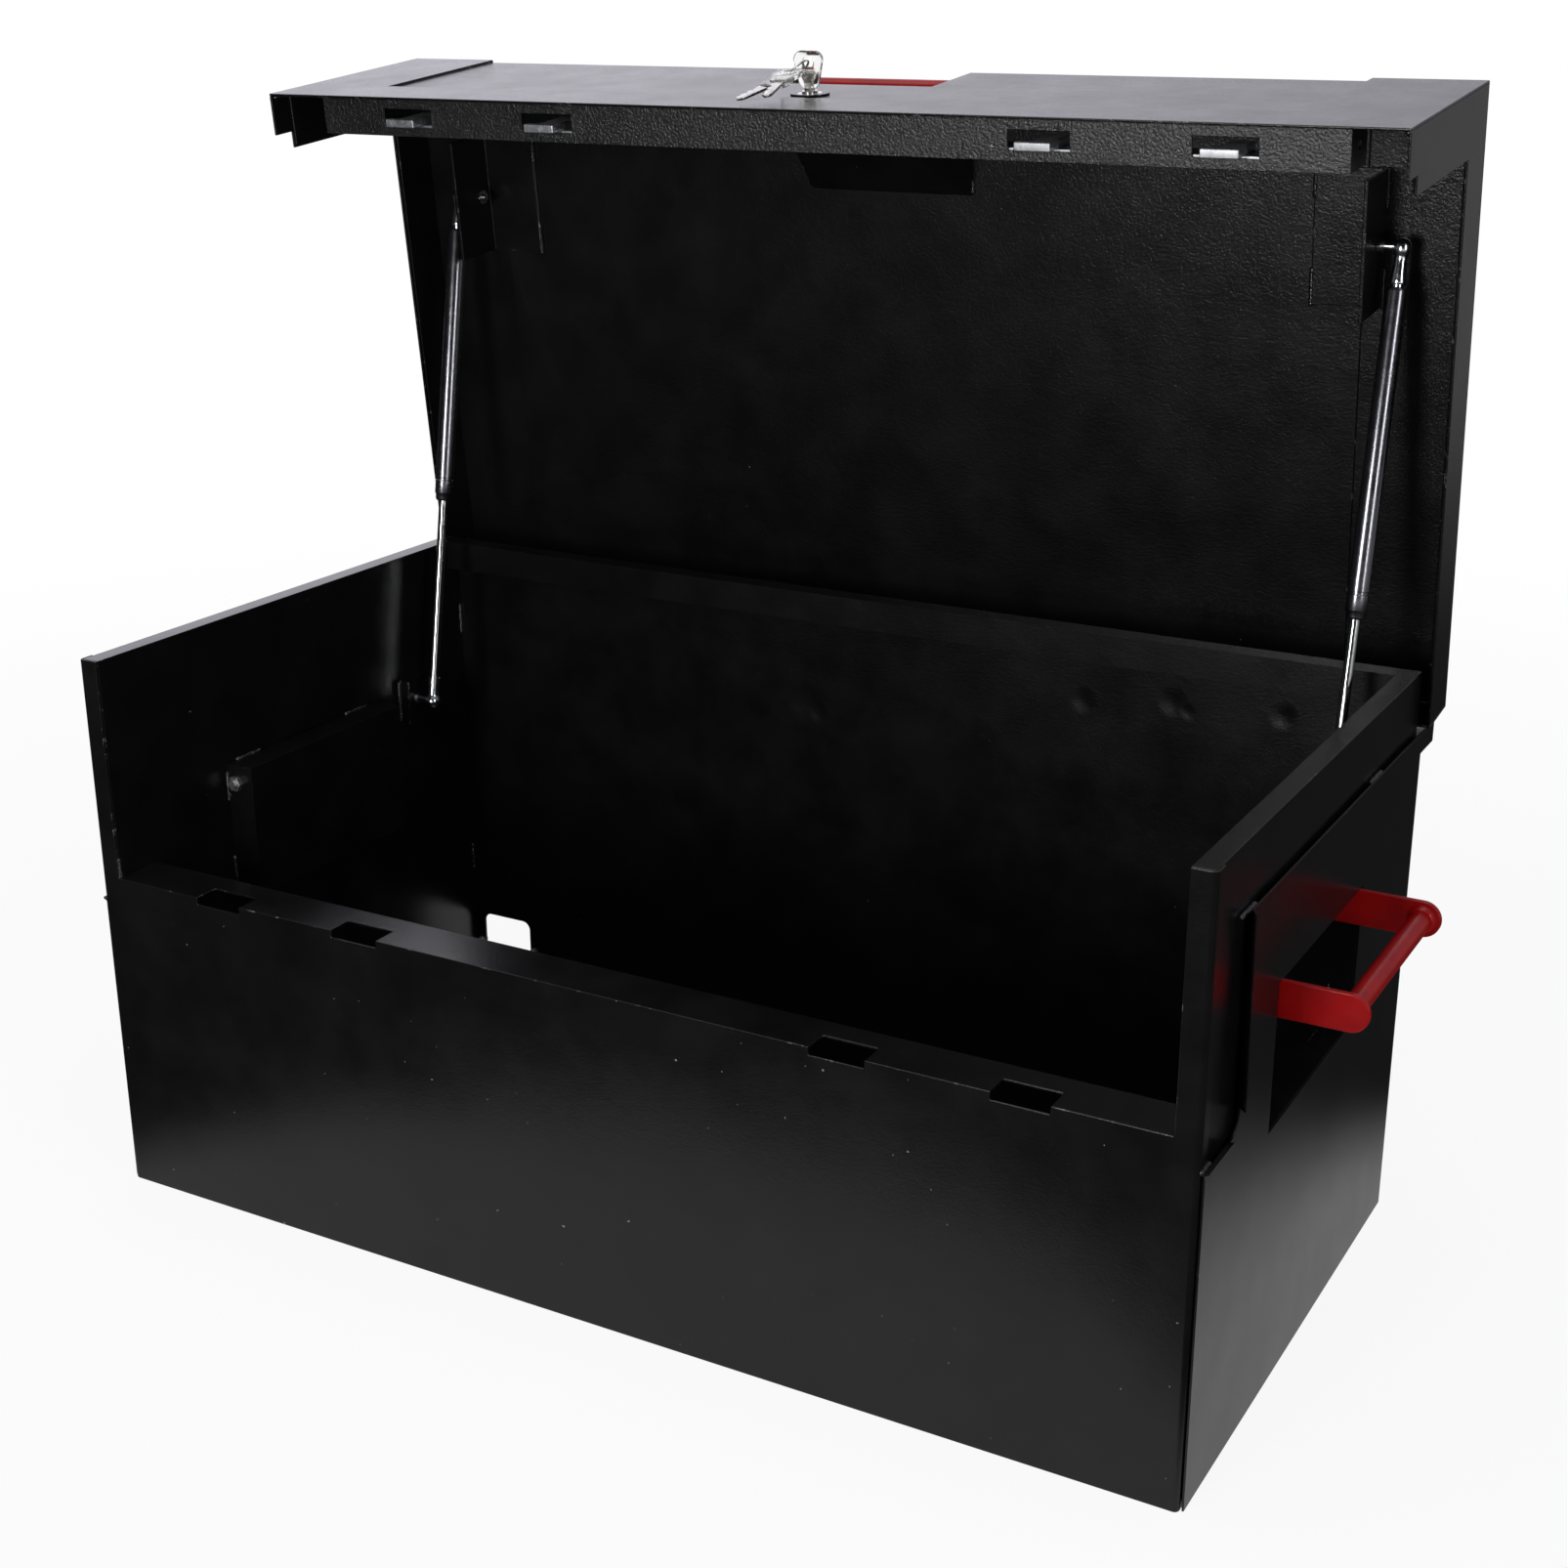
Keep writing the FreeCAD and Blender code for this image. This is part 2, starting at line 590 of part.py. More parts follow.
def stepped_lid_section():
    """Outline of the folded lid sheet over its middle field, which is pressed in a step."""
    ramp = "field_low + field_ramp"
    over = f"{LID_BACK} - field_rear"
    face = f"{LID_FACE} + lid_plate"
    rear = f"{LID_BACK} - lid_plate"
    outer = [
        (LID_FACE, "apron_low"), (LID_FACE, "field_low"), (f"{LID_FACE} + field_step", ramp),
        (f"{LID_FACE} + field_step", "lid_top - field_step"), (over, "lid_top - field_step"),
        (f"{over} + field_ramp", "lid_top"), (LID_BACK, "lid_top"), (LID_BACK, "lid_top - rear_flange"),
    ]
    inner = [
        (rear, "lid_top - rear_flange"), (rear, "lid_top - lid_plate"),
        (f"{over} + field_ramp", "lid_top - lid_plate"), (over, "lid_top - lid_plate - field_step"),
        (f"{face} + field_step", "lid_top - lid_plate - field_step"),
        (f"{face} + field_step", ramp), (face, "field_low"), (face, "apron_low"),
    ]
    return outer + inner


def make_lid_shell():
    """Lid top, front apron and rear flange: one folded sheet with a stepped field and the pull cut-out."""
    body = new_body("lid_shell")
    middle = new_sketch(body, "X")
    add_polygon(middle, stepped_lid_section())
    pad(body, middle, "2 * (field_half + lid_plate)", both_ways=True)
    for side in SIDES.values():
        corner = new_sketch(body, "X", sided(side, "field_half", "lid_half")[0])
        add_polygon(corner, plain_lid_section())
        pad(body, corner, "lid_half - field_half")
    gap = new_sketch(body, "X")
    low = f"{LID_FACE} - far_past"
    add_polygon(gap, [
        (low, "pull_low"), (f"{LID_FACE} + field_step + lid_plate", "pull_low"),
        (f"{LID_FACE} + pull_deep", "lid_top - field_step - lid_plate"),
        (f"{LID_FACE} + pull_deep", "lid_top + far_past"), (low, "lid_top + far_past"),
    ])
    pocket(body, gap, "2 * pull_half")
    lock = new_sketch(body, "Y", LID_FACE)
    add_circle(lock, "lock_side", "lock_high", "housing")
    pocket(body, lock, "8 * lid_plate")
    return keep(body, LID_OPEN)


def make_lid_side(word, side):
    """L-shaped side plate of the lid, along the top and down the apron's end."""
    near = sided(side, "lid_half - lid_plate", "lid_half")[0]
    face = f"{LID_FACE} + lid_plate"
    edge = f"{LID_FACE} + lid_side"
    outline = [
        (face, "apron_low"), (f"{edge} - lid_end_notch", "apron_low"),
        (f"{edge} - lid_end_notch", "apron_low + lid_end_tall"), (edge, "apron_low + lid_end_tall"),
        (edge, "lid_top - lid_side"), (f"{LID_BACK} - lid_plate", "lid_top - lid_side"),
        (f"{LID_BACK} - lid_plate", "lid_top - lid_plate"), (face, "lid_top - lid_plate"),
    ]
    return keep(prism(f"lid_side_{word}", "X", [outline], near, "lid_plate"), LID_OPEN)


def make_lid_doubler(word, side):
    """Thin stiffening plate inside the lid's side."""
    near = sided(side, "lid_half - lid_plate - doubler", "lid_half - lid_plate")[0]
    face = f"{LID_FACE} + lid_plate"
    edge = f"{LID_FACE} + lid_side - doubler_edge"
    low = "apron_low + doubler_inset"
    under = "lid_top - lid_side + doubler_edge"
    outline = [
        (face, low), (edge, low), (edge, under), (f"{LID_BACK} - doubler_inset", under),
        (f"{LID_BACK} - doubler_inset", "lid_top - lid_plate"), (face, "lid_top - lid_plate"),
    ]
    return keep(prism(f"lid_doubler_{word}", "X", [outline], near, "doubler"), LID_OPEN)


def make_pull_pocket():
    """Slanted pocket in the lid's front edge, behind the pull bar."""
    body = new_body("pull_pocket")
    top = "lid_top - field_step - lid_plate"
    face = f"{LID_FACE} + field_step + lid_plate"
    far = f"{LID_FACE} + pull_deep"
    outer = new_sketch(body, "X")
    add_polygon(outer, [(face, "pull_low - 2 * pull_plate"), (f"{far} + 2 * pull_plate", top), (face, top)])
    pad(body, outer, "2 * (pull_half + pull_plate)", both_ways=True)
    slope = f"({top} - pull_low) / (pull_deep - field_step - lid_plate)"
    inner = new_sketch(body, "X")
    add_polygon(inner, [
        (f"{face} - past", f"pull_low - past * {slope}"), (far, top), (far, f"{top} + past"),
        (f"{face} - past", f"{top} + past"),
    ])
    pocket(body, inner, "2 * pull_half")
    return keep(body, LID_OPEN)


def make_pull_bar():
    """Round bar across the pocket."""
    body = new_body("pull_bar_rod")
    sketch = new_sketch(body, "X")
    add_circle(sketch, f"{LID_FACE} + pull_bar_back", "pull_bar_high", "pull_bar")
    pad(body, sketch, "2 * pull_half", both_ways=True)
    return keep(body, LID_OPEN)


def make_lock_channel():
    """Channel behind the apron's lower edge that holds the lock bar, with four hook slots."""
    body = new_body("lock_channel")
    face = f"{LID_FACE} + lid_plate"
    rear = f"{face} + channel_deep"
    section = new_sketch(body, "X")
    add_polygon(section, [
        (face, "channel_low"), (rear, "channel_low"), (rear, "channel_low + channel_tall"),
        (f"{rear} - channel_plate", "channel_low + channel_tall"),
        (f"{rear} - channel_plate", "channel_low + channel_plate"),
        (f"{face} + channel_plate", "channel_low + channel_plate"),
        (f"{face} + channel_plate", "field_low"), (face, "field_low"),
    ])
    pad(body, section, "2 * channel_half", both_ways=True)
    for side in SIDES.values():
        end = new_sketch(body, "X", sided(side, "channel_half - channel_plate", "channel_half")[0])
        add_rectangle(end, (face, rear), ("channel_low", "field_low"))
        pad(body, end, "channel_plate")
    slots = new_sketch(body, "Z", "channel_low")
    for centre in HOOK_PLACES:
        add_rectangle(slots, (f"{centre} - slot_wide / 2", f"{centre} + slot_wide / 2"),
                      (back("slot_back - slot_deep / 2"), back("slot_back + slot_deep / 2")))
    pocket(body, slots, "4 * channel_plate")
    rivets = new_sketch(body, "X")
    add_circle(rivets, f"{face} + channel_deep / 2", "channel_low + channel_tall / 2", "rivet_hole")
    pocket(body, rivets)
    return keep(body, LID_OPEN)


def make_lock_bar():
    """Flat bar that slides in the channel, and its four hooks."""
    outline = rectangle(("-bar_half", "bar_half"), ("bar_low", "bar_low + bar_tall"))
    bar = prism("lock_slide_bar", "Y", [outline], back("hook_back + hook_thick / 2"), "bar_thick")
    keep(bar, LID_OPEN)
    hooks = []
    for number, centre in enumerate(HOOK_PLACES, start=1):
        left = f"{centre} - hook_left"
        right = f"{centre} + hook_right"
        outline = [
            (left, "hook_low"), (right, "hook_low"), (right, "bar_low + bar_tall"),
            (f"{right} - hook_neck", "bar_low + bar_tall"), (f"{right} - hook_neck", "hook_low + hook_nose"),
            (left, "hook_low + hook_nose"),
        ]
        near = back("hook_back - hook_thick / 2")
        hooks.append(prism(f"lock_hook_{number}", "Y", [outline], near, "hook_thick"))
    keep(group("lock_hooks", hooks), LID_OPEN)


# Lock and keys, drawn with the lid shut

def make_lock():
    """Lock housing through the apron, oval escutcheon, turning plug and cam."""
    face = f"{LID_FACE} + field_step"
    barrel = tube("housing_barrel", "Y", "housing", ("lock_side", f"{face} - escutcheon_thick", "lock_high"),
                  "housing_long")
    bore = tube("housing_bore", "Y", "plug + plug_play", ("lock_side", f"{face} - far_past", "lock_high"),
                "2 * housing_long")
    keep(cut("lock_housing", barrel, bore), LID_OPEN)
    plate = doc.addObject("Part::Ellipse", "escutcheon_edge")
    bind(plate, "MajorRadius", "escutcheon_wide")
    bind(plate, "MinorRadius", "escutcheon_tall")
    disc = doc.addObject("Part::Extrusion", "escutcheon_disc")
    disc.Base = plate
    disc.DirMode = "Custom"
    disc.Dir = FreeCAD.Vector(0, 0, 1)
    disc.Solid = True
    bind(disc, "LengthFwd", "escutcheon_thick")
    place_along(disc, "Y", ("lock_side", f"{face} - escutcheon_thick", "lock_high"))
    eye = tube("escutcheon_eye", "Y", "housing", ("lock_side", f"{face} - far_past", "lock_high"),
               "2 * far_past")
    keep(cut("lock_escutcheon", disc, eye), LID_OPEN)
    front = f"{face} - escutcheon_thick - plug_proud"
    core = tube("plug_core", "Y", "plug", ("lock_side", front, "lock_high"),
                "housing_long + plug_proud + cam_gap")
    slit = block("plug_slit", ("lock_side - blade_wide / 2", "lock_side + blade_wide / 2"),
                 (f"{face} - far_past", f"{face} + plug_slit"),
                 ("lock_high - blade_thick / 2", "lock_high + blade_thick / 2"))
    keep(cut("lock_plug", core, slit), LID_OPEN)
    tail = f"{face} - escutcheon_thick + housing_long + cam_gap"
    arm = block("cam_arm", ("lock_side - cam_wide / 2", "lock_side + cam_wide / 2"),
                (tail, f"{tail} + cam_thick"), ("lock_high - cam_long", "lock_high + cam_wide / 2"))
    finger = tube("cam_finger", "Y", "cam_pin", ("lock_side", tail, "lock_high - cam_pin_reach"),
                  "cam_thick + cam_pin_long")
    keep(fuse("lock_cam", [arm, finger]), LID_OPEN)


def make_drive_strap():
    """Bent strap on the lock bar, forked around the cam's pin."""
    face = f"{LID_FACE} + field_step"
    behind = f"{face} - escutcheon_thick + housing_long + cam_gap + cam_thick + strap_gap"
    across = ("lock_side - strap_wide / 2", "lock_side + strap_wide / 2")
    foot_start = back("hook_back + hook_thick / 2 + bar_thick")
    step = "channel_low + channel_tall + strap_gap"
    rise = block("strap_rise", across, (foot_start, f"{foot_start} + strap_thick"),
                 ("bar_low + strap_gap", f"{step} + strap_thick"))
    shelf = block("strap_shelf", across, (foot_start, f"{behind} + strap_thick"),
                  (step, f"{step} + strap_thick"))
    fork = block("strap_fork", across, (behind, f"{behind} + strap_thick"), (step, "lock_high + strap_over"))
    whole = fuse("strap_whole", [rise, shelf, fork])
    slot = block("strap_slot_space", ("lock_side - strap_slot / 2", "lock_side + strap_slot / 2"),
                 (f"{behind} - past", f"{behind} + 2 * strap_thick"),
                 (f"{step} + 2 * strap_thick", "lock_high + far_past"))
    keep(cut("lock_drive_strap", whole, slot), LID_OPEN)


def key_blade(name, face):
    """Blade of a key, in its slot."""
    start = f"{face} - escutcheon_thick - plug_proud - bow_gap"
    return prism(name, "Y", [rectangle(("lock_side - blade_wide / 2", "lock_side + blade_wide / 2"),
                                       ("lock_high - blade_thick / 2", "lock_high + blade_thick / 2"))],
                 start, "blade_long")


def make_key():
    """The key that stands in the lock."""
    face = f"{LID_FACE} + field_step"
    keep(key_blade("key_blade", face), LID_OPEN)
    bow = new_body("key_bow")
    end = f"{face} - escutcheon_thick - plug_proud - bow_gap"
    sketch = new_sketch(bow, "Z", "lock_high")
    across = ("lock_side - bow_wide / 2", "lock_side + bow_wide / 2")
    add_rectangle(sketch, across, (f"{end} - bow_tall", end))
    add_circle(sketch, "lock_side", f"{end} - bow_tall + bow_eye", "bow_hole")
    pad(bow, sketch, "bow_thick", both_ways=True)

    def is_corner(middle, edge):
        upright = edge.BoundBox.ZLength > size("bow_thick") - NEAR
        return upright and abs(abs(middle.x - size("lock_side")) - size("bow_wide") / 2) < NEAR

    round_edges(bow, "bow_round", is_corner)
    keep(bow, LID_OPEN)


def spare_key():
    """Bow and blade of a spare key, flat, with its ring hole at the origin and its tip along -Z."""
    half = size("bow_wide") / 2
    top = size("bow_eye")
    tall = size("bow_tall")
    thick = size("bow_thick")
    bow = Part.makeBox(2 * half, thick, tall, FreeCAD.Vector(-half, -thick / 2, top - tall))
    upright = [edge for edge in bow.Edges if edge.BoundBox.YLength > thick / 2]
    bow = bow.makeFillet(size("bow_round"), upright)
    start = FreeCAD.Vector(0, -thick, 0)
    bow = bow.cut(Part.makeCylinder(size("bow_hole"), 2 * thick, start, FreeCAD.Vector(0, 1, 0)))
    wide = size("blade_wide")
    thin = size("blade_thick")
    blade = Part.makeBox(wide, thin, size("blade_long"),
                         FreeCAD.Vector(-wide / 2, -thin / 2, top - tall - size("blade_long")))
    return bow, blade


def make_spare_keys():
    """Ring through the standing key's eye and round its edge, with two keys leaning on the apron."""
    face = size("lid_front") - size("field_step") + size("body_deep") / 2
    out = size("escutcheon_thick") + size("plug_proud") + size("bow_gap") + size("bow_tall")
    eye = FreeCAD.Vector(size("lock_side"), size("bow_eye") - face - out, size("lock_high"))
    radius = size("ring_out")
    drop = size("ring_drop")
    turn = math.radians(size("ring_turn"))
    across = FreeCAD.Vector(-math.sin(turn), math.cos(turn), 0)
    axis = FreeCAD.Vector(math.cos(turn), math.sin(turn), 0)
    down = FreeCAD.Vector(0, 0, -1)
    centre = eye + across * math.sqrt(radius ** 2 - drop ** 2) + down * drop
    keep(feature("key_ring", Part.makeTorus(radius, size("ring_wire"), centre, axis)), LID_OPEN)
    step = math.radians(size("ring_step"))
    spots = [centre + across * (radius * math.sin(way * step)) + down * (radius * math.cos(way * step))
             for way in (-1, 1)]
    reach = size("bow_tall") - size("bow_eye") + size("blade_long")
    surface = -(face + size("field_step"))
    lean = math.degrees(math.asin((surface - size("spare_rest") - spots[1].y) / reach))
    bows = []
    blades = []
    for way, spot in zip((-1, 1), spots):
        bow, blade = spare_key()
        tilt = FreeCAD.Placement(spot, FreeCAD.Rotation(FreeCAD.Vector(1, 0, 0), lean))
        swing = size("spare_fan") * way + size("spare_skew")
        fan = FreeCAD.Placement(FreeCAD.Vector(), FreeCAD.Rotation(FreeCAD.Vector(0, 1, 0), swing))
        for part, stack in ((bow, bows), (blade, blades)):
            part.Placement = tilt.multiply(fan)
            stack.append(part)
    keep(feature("spare_key_bows", Part.makeCompound(bows)), LID_OPEN)
    keep(feature("spare_key_blades", Part.makeCompound(blades)), LID_OPEN)


# Gas struts, drawn along Z from the foot ball and then leaned into place

def ball_socket(direction, length, side):
    """Socket end around a ball at the origin, open sideways for the ball's neck."""
    start = -size("socket_end") if direction > 0 else -length
    tall = length + size("socket_end")
    body = Part.makeCylinder(size("socket"), tall, FreeCAD.Vector(0, 0, start))
    line = FreeCAD.Vector(side, 0, 0)
    hollow = Part.makeSphere(size("ball") + size("ball_play"), FreeCAD.Vector(), line)
    mouth_radius = size("ball_neck") + size("neck_play")
    mouth = Part.makeCylinder(mouth_radius, 2 * size("socket"), FreeCAD.Vector(), line)
    return body.cut(hollow.fuse(mouth))


def ball_stud(side, reach):
    """Ball at the origin on a neck towards one side, with a collar where the neck ends."""
    line = FreeCAD.Vector(side, 0, 0)
    ball = Part.makeSphere(size("ball"), FreeCAD.Vector(), line)
    neck = Part.makeCylinder(size("ball_neck"), reach, FreeCAD.Vector(), line)
    collar = Part.makeCylinder(size("ball"), size("collar"), line * (reach - size("collar")), line)
    return ball.fuse([neck, collar]).removeSplitter()


def make_strut(word, side):
    """Gas strut: rod with piston and foot socket, cylinder with head socket and ball stud."""
    pose = STRUT_POSE[side]
    radius = size("strut_rod")
    inner = size("cylinder") - size("cylinder_wall")
    top = strut_open_long - size("head_socket")
    low = top - size("cylinder_long")
    keep(feature(f"strut_foot_socket_{word}", ball_socket(1, size("foot_socket"), side)), pose)
    end = size("cylinder_end")
    piston_low = low + size("piston_inset")
    rod_low = size("foot_socket")
    rod = Part.makeCylinder(radius, piston_low - rod_low, FreeCAD.Vector(0, 0, rod_low))
    piston = Part.makeCylinder(inner - size("piston_play"), size("piston_long"),
                               FreeCAD.Vector(0, 0, piston_low))
    keep(feature(f"strut_rod_{word}", rod.fuse(piston).removeSplitter()), pose)
    shell = Part.makeCylinder(size("cylinder"), size("cylinder_long"), FreeCAD.Vector(0, 0, low))
    space = Part.makeCylinder(inner, size("cylinder_long") - 2 * end, FreeCAD.Vector(0, 0, low + end))
    guide = Part.makeCylinder(radius + size("rod_play"), 2 * end, FreeCAD.Vector(0, 0, low - size("past")))
    keep(feature(f"strut_cylinder_{word}", shell.cut(space).cut(guide)), pose)
    head_pose = pose.multiply(FreeCAD.Placement(FreeCAD.Vector(0, 0, strut_open_long), FreeCAD.Rotation()))
    keep(feature(f"strut_head_socket_{word}", ball_socket(-1, size("head_socket"), -side)), head_pose)
    reach = size("strut_side") - size("head_plate_side") - size("bracket_plate") - size("stud_gap")
    keep(feature(f"strut_head_stud_{word}", ball_stud(-side, reach)), head_pose)


def make_head_bracket(word, side):
    """Welded angle under the lid that carries the strut's head, and the stud's nut."""
    under = "lid_top - lid_plate - field_step"
    deep = (back("head_front"), back("head_front + head_long"))
    across = sided(side, "head_plate_side", "head_plate_side + bracket_plate")
    plate = block(f"head_{word}_plate", across, deep, (f"{under} - head_tall", "lid_top - lid_plate"))
    foot = block(f"head_{word}_pad", sided(side, "head_plate_side - head_pad", "head_plate_side"), deep,
                 (f"{under} - bracket_plate", under))
    keep(fuse(f"strut_head_bracket_{word}", [plate, foot]), LID_OPEN)
    start = f"{side} * head_plate_side"
    if side > 0:
        start = f"{start} - nut_thick"
    nut = hexagon(f"head_{word}_nut", "X", "nut", (start, back("head_back"), "head_high"), "nut_thick")
    end_start = start if side < 0 else f"{start} - thread_proud"
    end = tube(f"head_{word}_thread", "X", "ball_neck", (end_start, back("head_back"), "head_high"),
               "nut_thick + thread_proud")
    keep(fuse(f"strut_head_nut_{word}", [nut, end]), LID_OPEN)


def make_foot_bracket(word, side):
    """Bent plate on the inner side wall that carries the strut's foot ball."""
    wall_face = "body_wide / 2 - post_wide"
    low = "foot_high - foot_tall / 2"
    high = "foot_high + foot_tall / 2"
    start = back("foot_back - foot_wide / 2")
    base = block(f"foot_{word}_base", sided(side, f"{wall_face} - bracket_plate", wall_face),
                 (start, back("foot_back + foot_wide / 2")), (low, high))
    stud_plate = block(f"foot_{word}_rib", sided(side, f"{wall_face} - foot_rib", wall_face),
                       (start, back("foot_back - foot_wide / 2 + bracket_plate")), (low, high))
    keep(fuse(f"strut_foot_bracket_{word}", [base, stud_plate]))
    span = size("body_wide") / 2 - size("post_wide") - size("bracket_plate") - size("strut_side")
    stud = feature(f"strut_foot_stud_{word}", ball_stud(side, span))
    spot = FreeCAD.Vector(side * size("strut_side"), foot_y, foot_z)
    keep(stud, FreeCAD.Placement(spot, FreeCAD.Rotation()))


# Drop handles

def make_handle(word, side):
    """Bail handle: two flat arms and a round bar, on a pivot rod through the recess."""
    across = f"{side} * pivot_side"
    rod = new_body(f"handle_pivot_{word}")
    sketch = new_sketch(rod, "Y", back("recess_front - pivot_end"))
    add_circle(sketch, across, "pivot_high", "pivot")
    pad(rod, sketch, "recess_rear - recess_front + 2 * pivot_end")
    keep(rod)
    nuts = []
    for place, start in (("front", "recess_front - nut_thick"), ("rear", "recess_rear")):
        spot = (across, back(start), "pivot_high")
        blank = hexagon(f"handle_{word}_{place}_blank", "Y", "nut", spot, "nut_thick")
        hole = tube(f"handle_{word}_{place}_hole", "Y", "pivot", spot, "nut_thick")
        nuts.append(cut(f"handle_{word}_{place}_nut", blank, hole))
    keep(group(f"handle_nuts_{word}", nuts))
    arms = []
    places = ("recess_front + recess_plate + arm_inset", "recess_rear - recess_plate - arm_inset - arm_thick")
    for number, start in enumerate(places):
        flat = block(f"arm_{word}_{number}_flat", sided(side, "pivot_side", "pivot_side + handle_reach"),
                     (back(start), back(f"{start} + arm_thick")),
                     ("pivot_high - arm_tall / 2", "pivot_high + arm_tall / 2"))
        near = tube(f"arm_{word}_{number}_near", "Y", "arm_tall / 2", (across, back(start), "pivot_high"),
                    "arm_thick")
        far = tube(f"arm_{word}_{number}_far", "Y", "arm_tall / 2",
                   (f"{side} * (pivot_side + handle_reach)", back(start), "pivot_high"), "arm_thick")
        whole = fuse(f"arm_{word}_{number}_whole", [flat, near, far])
        bore = tube(f"arm_{word}_{number}_bore", "Y", "pivot + pivot_play",
                    (across, back(f"{start} - past"), "pivot_high"), "arm_thick + 2 * past")
        arms.append(cut(f"arm_{word}_{number}", whole, bore))
    keep(group(f"handle_arms_{word}", arms))
    bar = new_body(f"handle_bar_{word}")
    first = f"{places[0]} + arm_thick"
    outline = new_sketch(bar, "Y", back(first))
    add_circle(outline, f"{side} * (pivot_side + handle_reach)", "pivot_high", "handle_bar")
    pad(bar, outline, f"{places[1]} - ({first})")
    keep(bar)


# Build everything

def build():
    make_front_panel()
    make_floor_panel()
    make_rear_panel()
    make_rear_ledge()
    make_cable_bolts()
    make_hinge()
    make_lid_shell()
    make_pull_pocket()
    make_pull_bar()
    make_lock_channel()
    make_lock_bar()
    make_lock()
    make_drive_strap()
    make_key()
    make_spare_keys()
    for word, side in SIDES.items():
        make_side_frame(word, side)
        make_side_skin(word, side)
        make_recess_box(word, side)
        make_lid_side(word, side)
        make_lid_doubler(word, side)
        make_strut(word, side)
        make_head_bracket(word, side)
        make_foot_bracket(word, side)
        make_handle(word, side)
    doc.recompute()


def check():
    """Stop if any object failed or any piece has no valid solid."""
    for item in doc.Objects:
        if "Invalid" in item.State or "Error" in item.State:
            raise RuntimeError(f"{item.Label} failed: {item.State}")
    for label, piece in nodes.items():
        if piece.Shape.isNull() or not piece.Shape.isValid() or not piece.Shape.Solids:
            raise RuntimeError(f"{label} has no valid solid")


def export():
    """Write one file per piece."""
    os.makedirs("parts", exist_ok=True)
    for label, piece in nodes.items():
        piece.Shape.exportStep(f"parts/{label}.step")


build()
check()
export()
print(len(nodes), "pieces")
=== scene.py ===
import math

import bmesh
import bpy
from mathutils import Matrix, Vector


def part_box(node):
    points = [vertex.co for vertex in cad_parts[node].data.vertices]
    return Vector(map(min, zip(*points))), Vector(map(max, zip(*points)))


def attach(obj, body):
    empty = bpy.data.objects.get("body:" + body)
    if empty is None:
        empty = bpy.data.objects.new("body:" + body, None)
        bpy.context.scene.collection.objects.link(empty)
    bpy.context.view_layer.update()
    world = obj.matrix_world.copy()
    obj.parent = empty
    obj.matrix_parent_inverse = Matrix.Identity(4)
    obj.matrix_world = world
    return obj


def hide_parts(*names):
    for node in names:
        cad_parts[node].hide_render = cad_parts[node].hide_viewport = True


bl_info = {
    "name": "Steel tool trunk",
    "version": (1, 0, 0),
    "blender": (4, 5, 0),
    "location": "View3D > Sidebar > Trunk",
    "description": "Gives the packed steel tool trunk its rounded sheets, welds, struts, keys and finishes",
    "category": "Object",
}

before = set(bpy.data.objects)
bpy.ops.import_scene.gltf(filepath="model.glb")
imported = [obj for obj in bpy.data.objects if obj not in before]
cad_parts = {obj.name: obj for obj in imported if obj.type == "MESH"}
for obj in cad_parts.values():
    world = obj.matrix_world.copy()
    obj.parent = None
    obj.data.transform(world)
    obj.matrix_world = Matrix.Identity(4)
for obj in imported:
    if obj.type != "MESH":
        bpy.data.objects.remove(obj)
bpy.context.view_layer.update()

SIDES = {"left": -1, "right": 1}

# Places and lengths of the packed frame, in metres; shut means with the lid shut
HINGE = Vector((0, 0.234, 0.4025))
LID_ANGLE = math.radians(84)
STRUT_SIDE = 0.4145
STRUT_FOOT = Vector((0, 0.147, 0.317))
STRUT_HEAD_SHUT = Vector((0, -0.1215, 0.430))
FOOT_SOCKET_TOP = 0.022
HEAD_SOCKET_LONG = 0.028
CYLINDER_LONG = 0.238
ROD_INSIDE = 0.010
EYE_SHUT = Vector((-0.0055, -0.2550, 0.333))
RING_SHUT = Vector((-0.012973, -0.247527, 0.3246))
RING_RADIUS = 0.0135
RING_STEP = math.radians(11)
RING_TURNS = 1.92
RING_START = 0.8
RING_POINTS = 90
SPARE_LEAN = math.radians(11.80)
SPARE_SWINGS = (math.radians(-6), math.radians(22))
BOW_TOP = 0.008
BLADE_CUTS = (0.0012, 0.0024, 0.0008, 0.0028, 0.0016, 0.0022)

# Dents knocked into the rear wall: middle, reach and depth
REAR_DENTS = (
    ((-0.070, 0.2275, 0.345), 0.020, 0.0008),
    ((-0.058, 0.2275, 0.338), 0.011, 0.0006),
    ((0.186, 0.2275, 0.386), 0.013, 0.0006),
    ((0.262, 0.2275, 0.396), 0.014, 0.0007),
    ((0.352, 0.2275, 0.398), 0.013, 0.0007),
    ((0.275, 0.2275, 0.390), 0.008, 0.0004),
)

# Lines that the weld beads follow, for the right side and mirrored to the left
INNER_WALL = 0.439
OUTER_SKIN = 0.4562
POST_FOOT = 0.4395
REAR_WALL = 0.2262
BRACKET_INNER = 0.3445
BRACKET_OUTER = 0.3925
DOUBLER_EDGE = 0.3965
POCKET_SIDE = 0.0715
LID_SIDE_FOLD = 0.4590

# Lamps: place, the point they face, and width and height
LAMPS = {
    "top": ((-0.2, -0.3, 3.0), (0.0, 0.0, 0.35), (2.4, 1.8)),
    "front": ((-0.2, -3.4, 0.95), (0.0, 0.0, 0.5), (0.7, 1.2)),
    "right": ((2.9, -1.35, 1.3), (0.0, 0.0, 0.5), (0.5, 1.6)),
}

# Share of the floor's light in the gloss that is the plain studio's; the rest is the floor's own paint
STUDIO_SHARE = 0.98

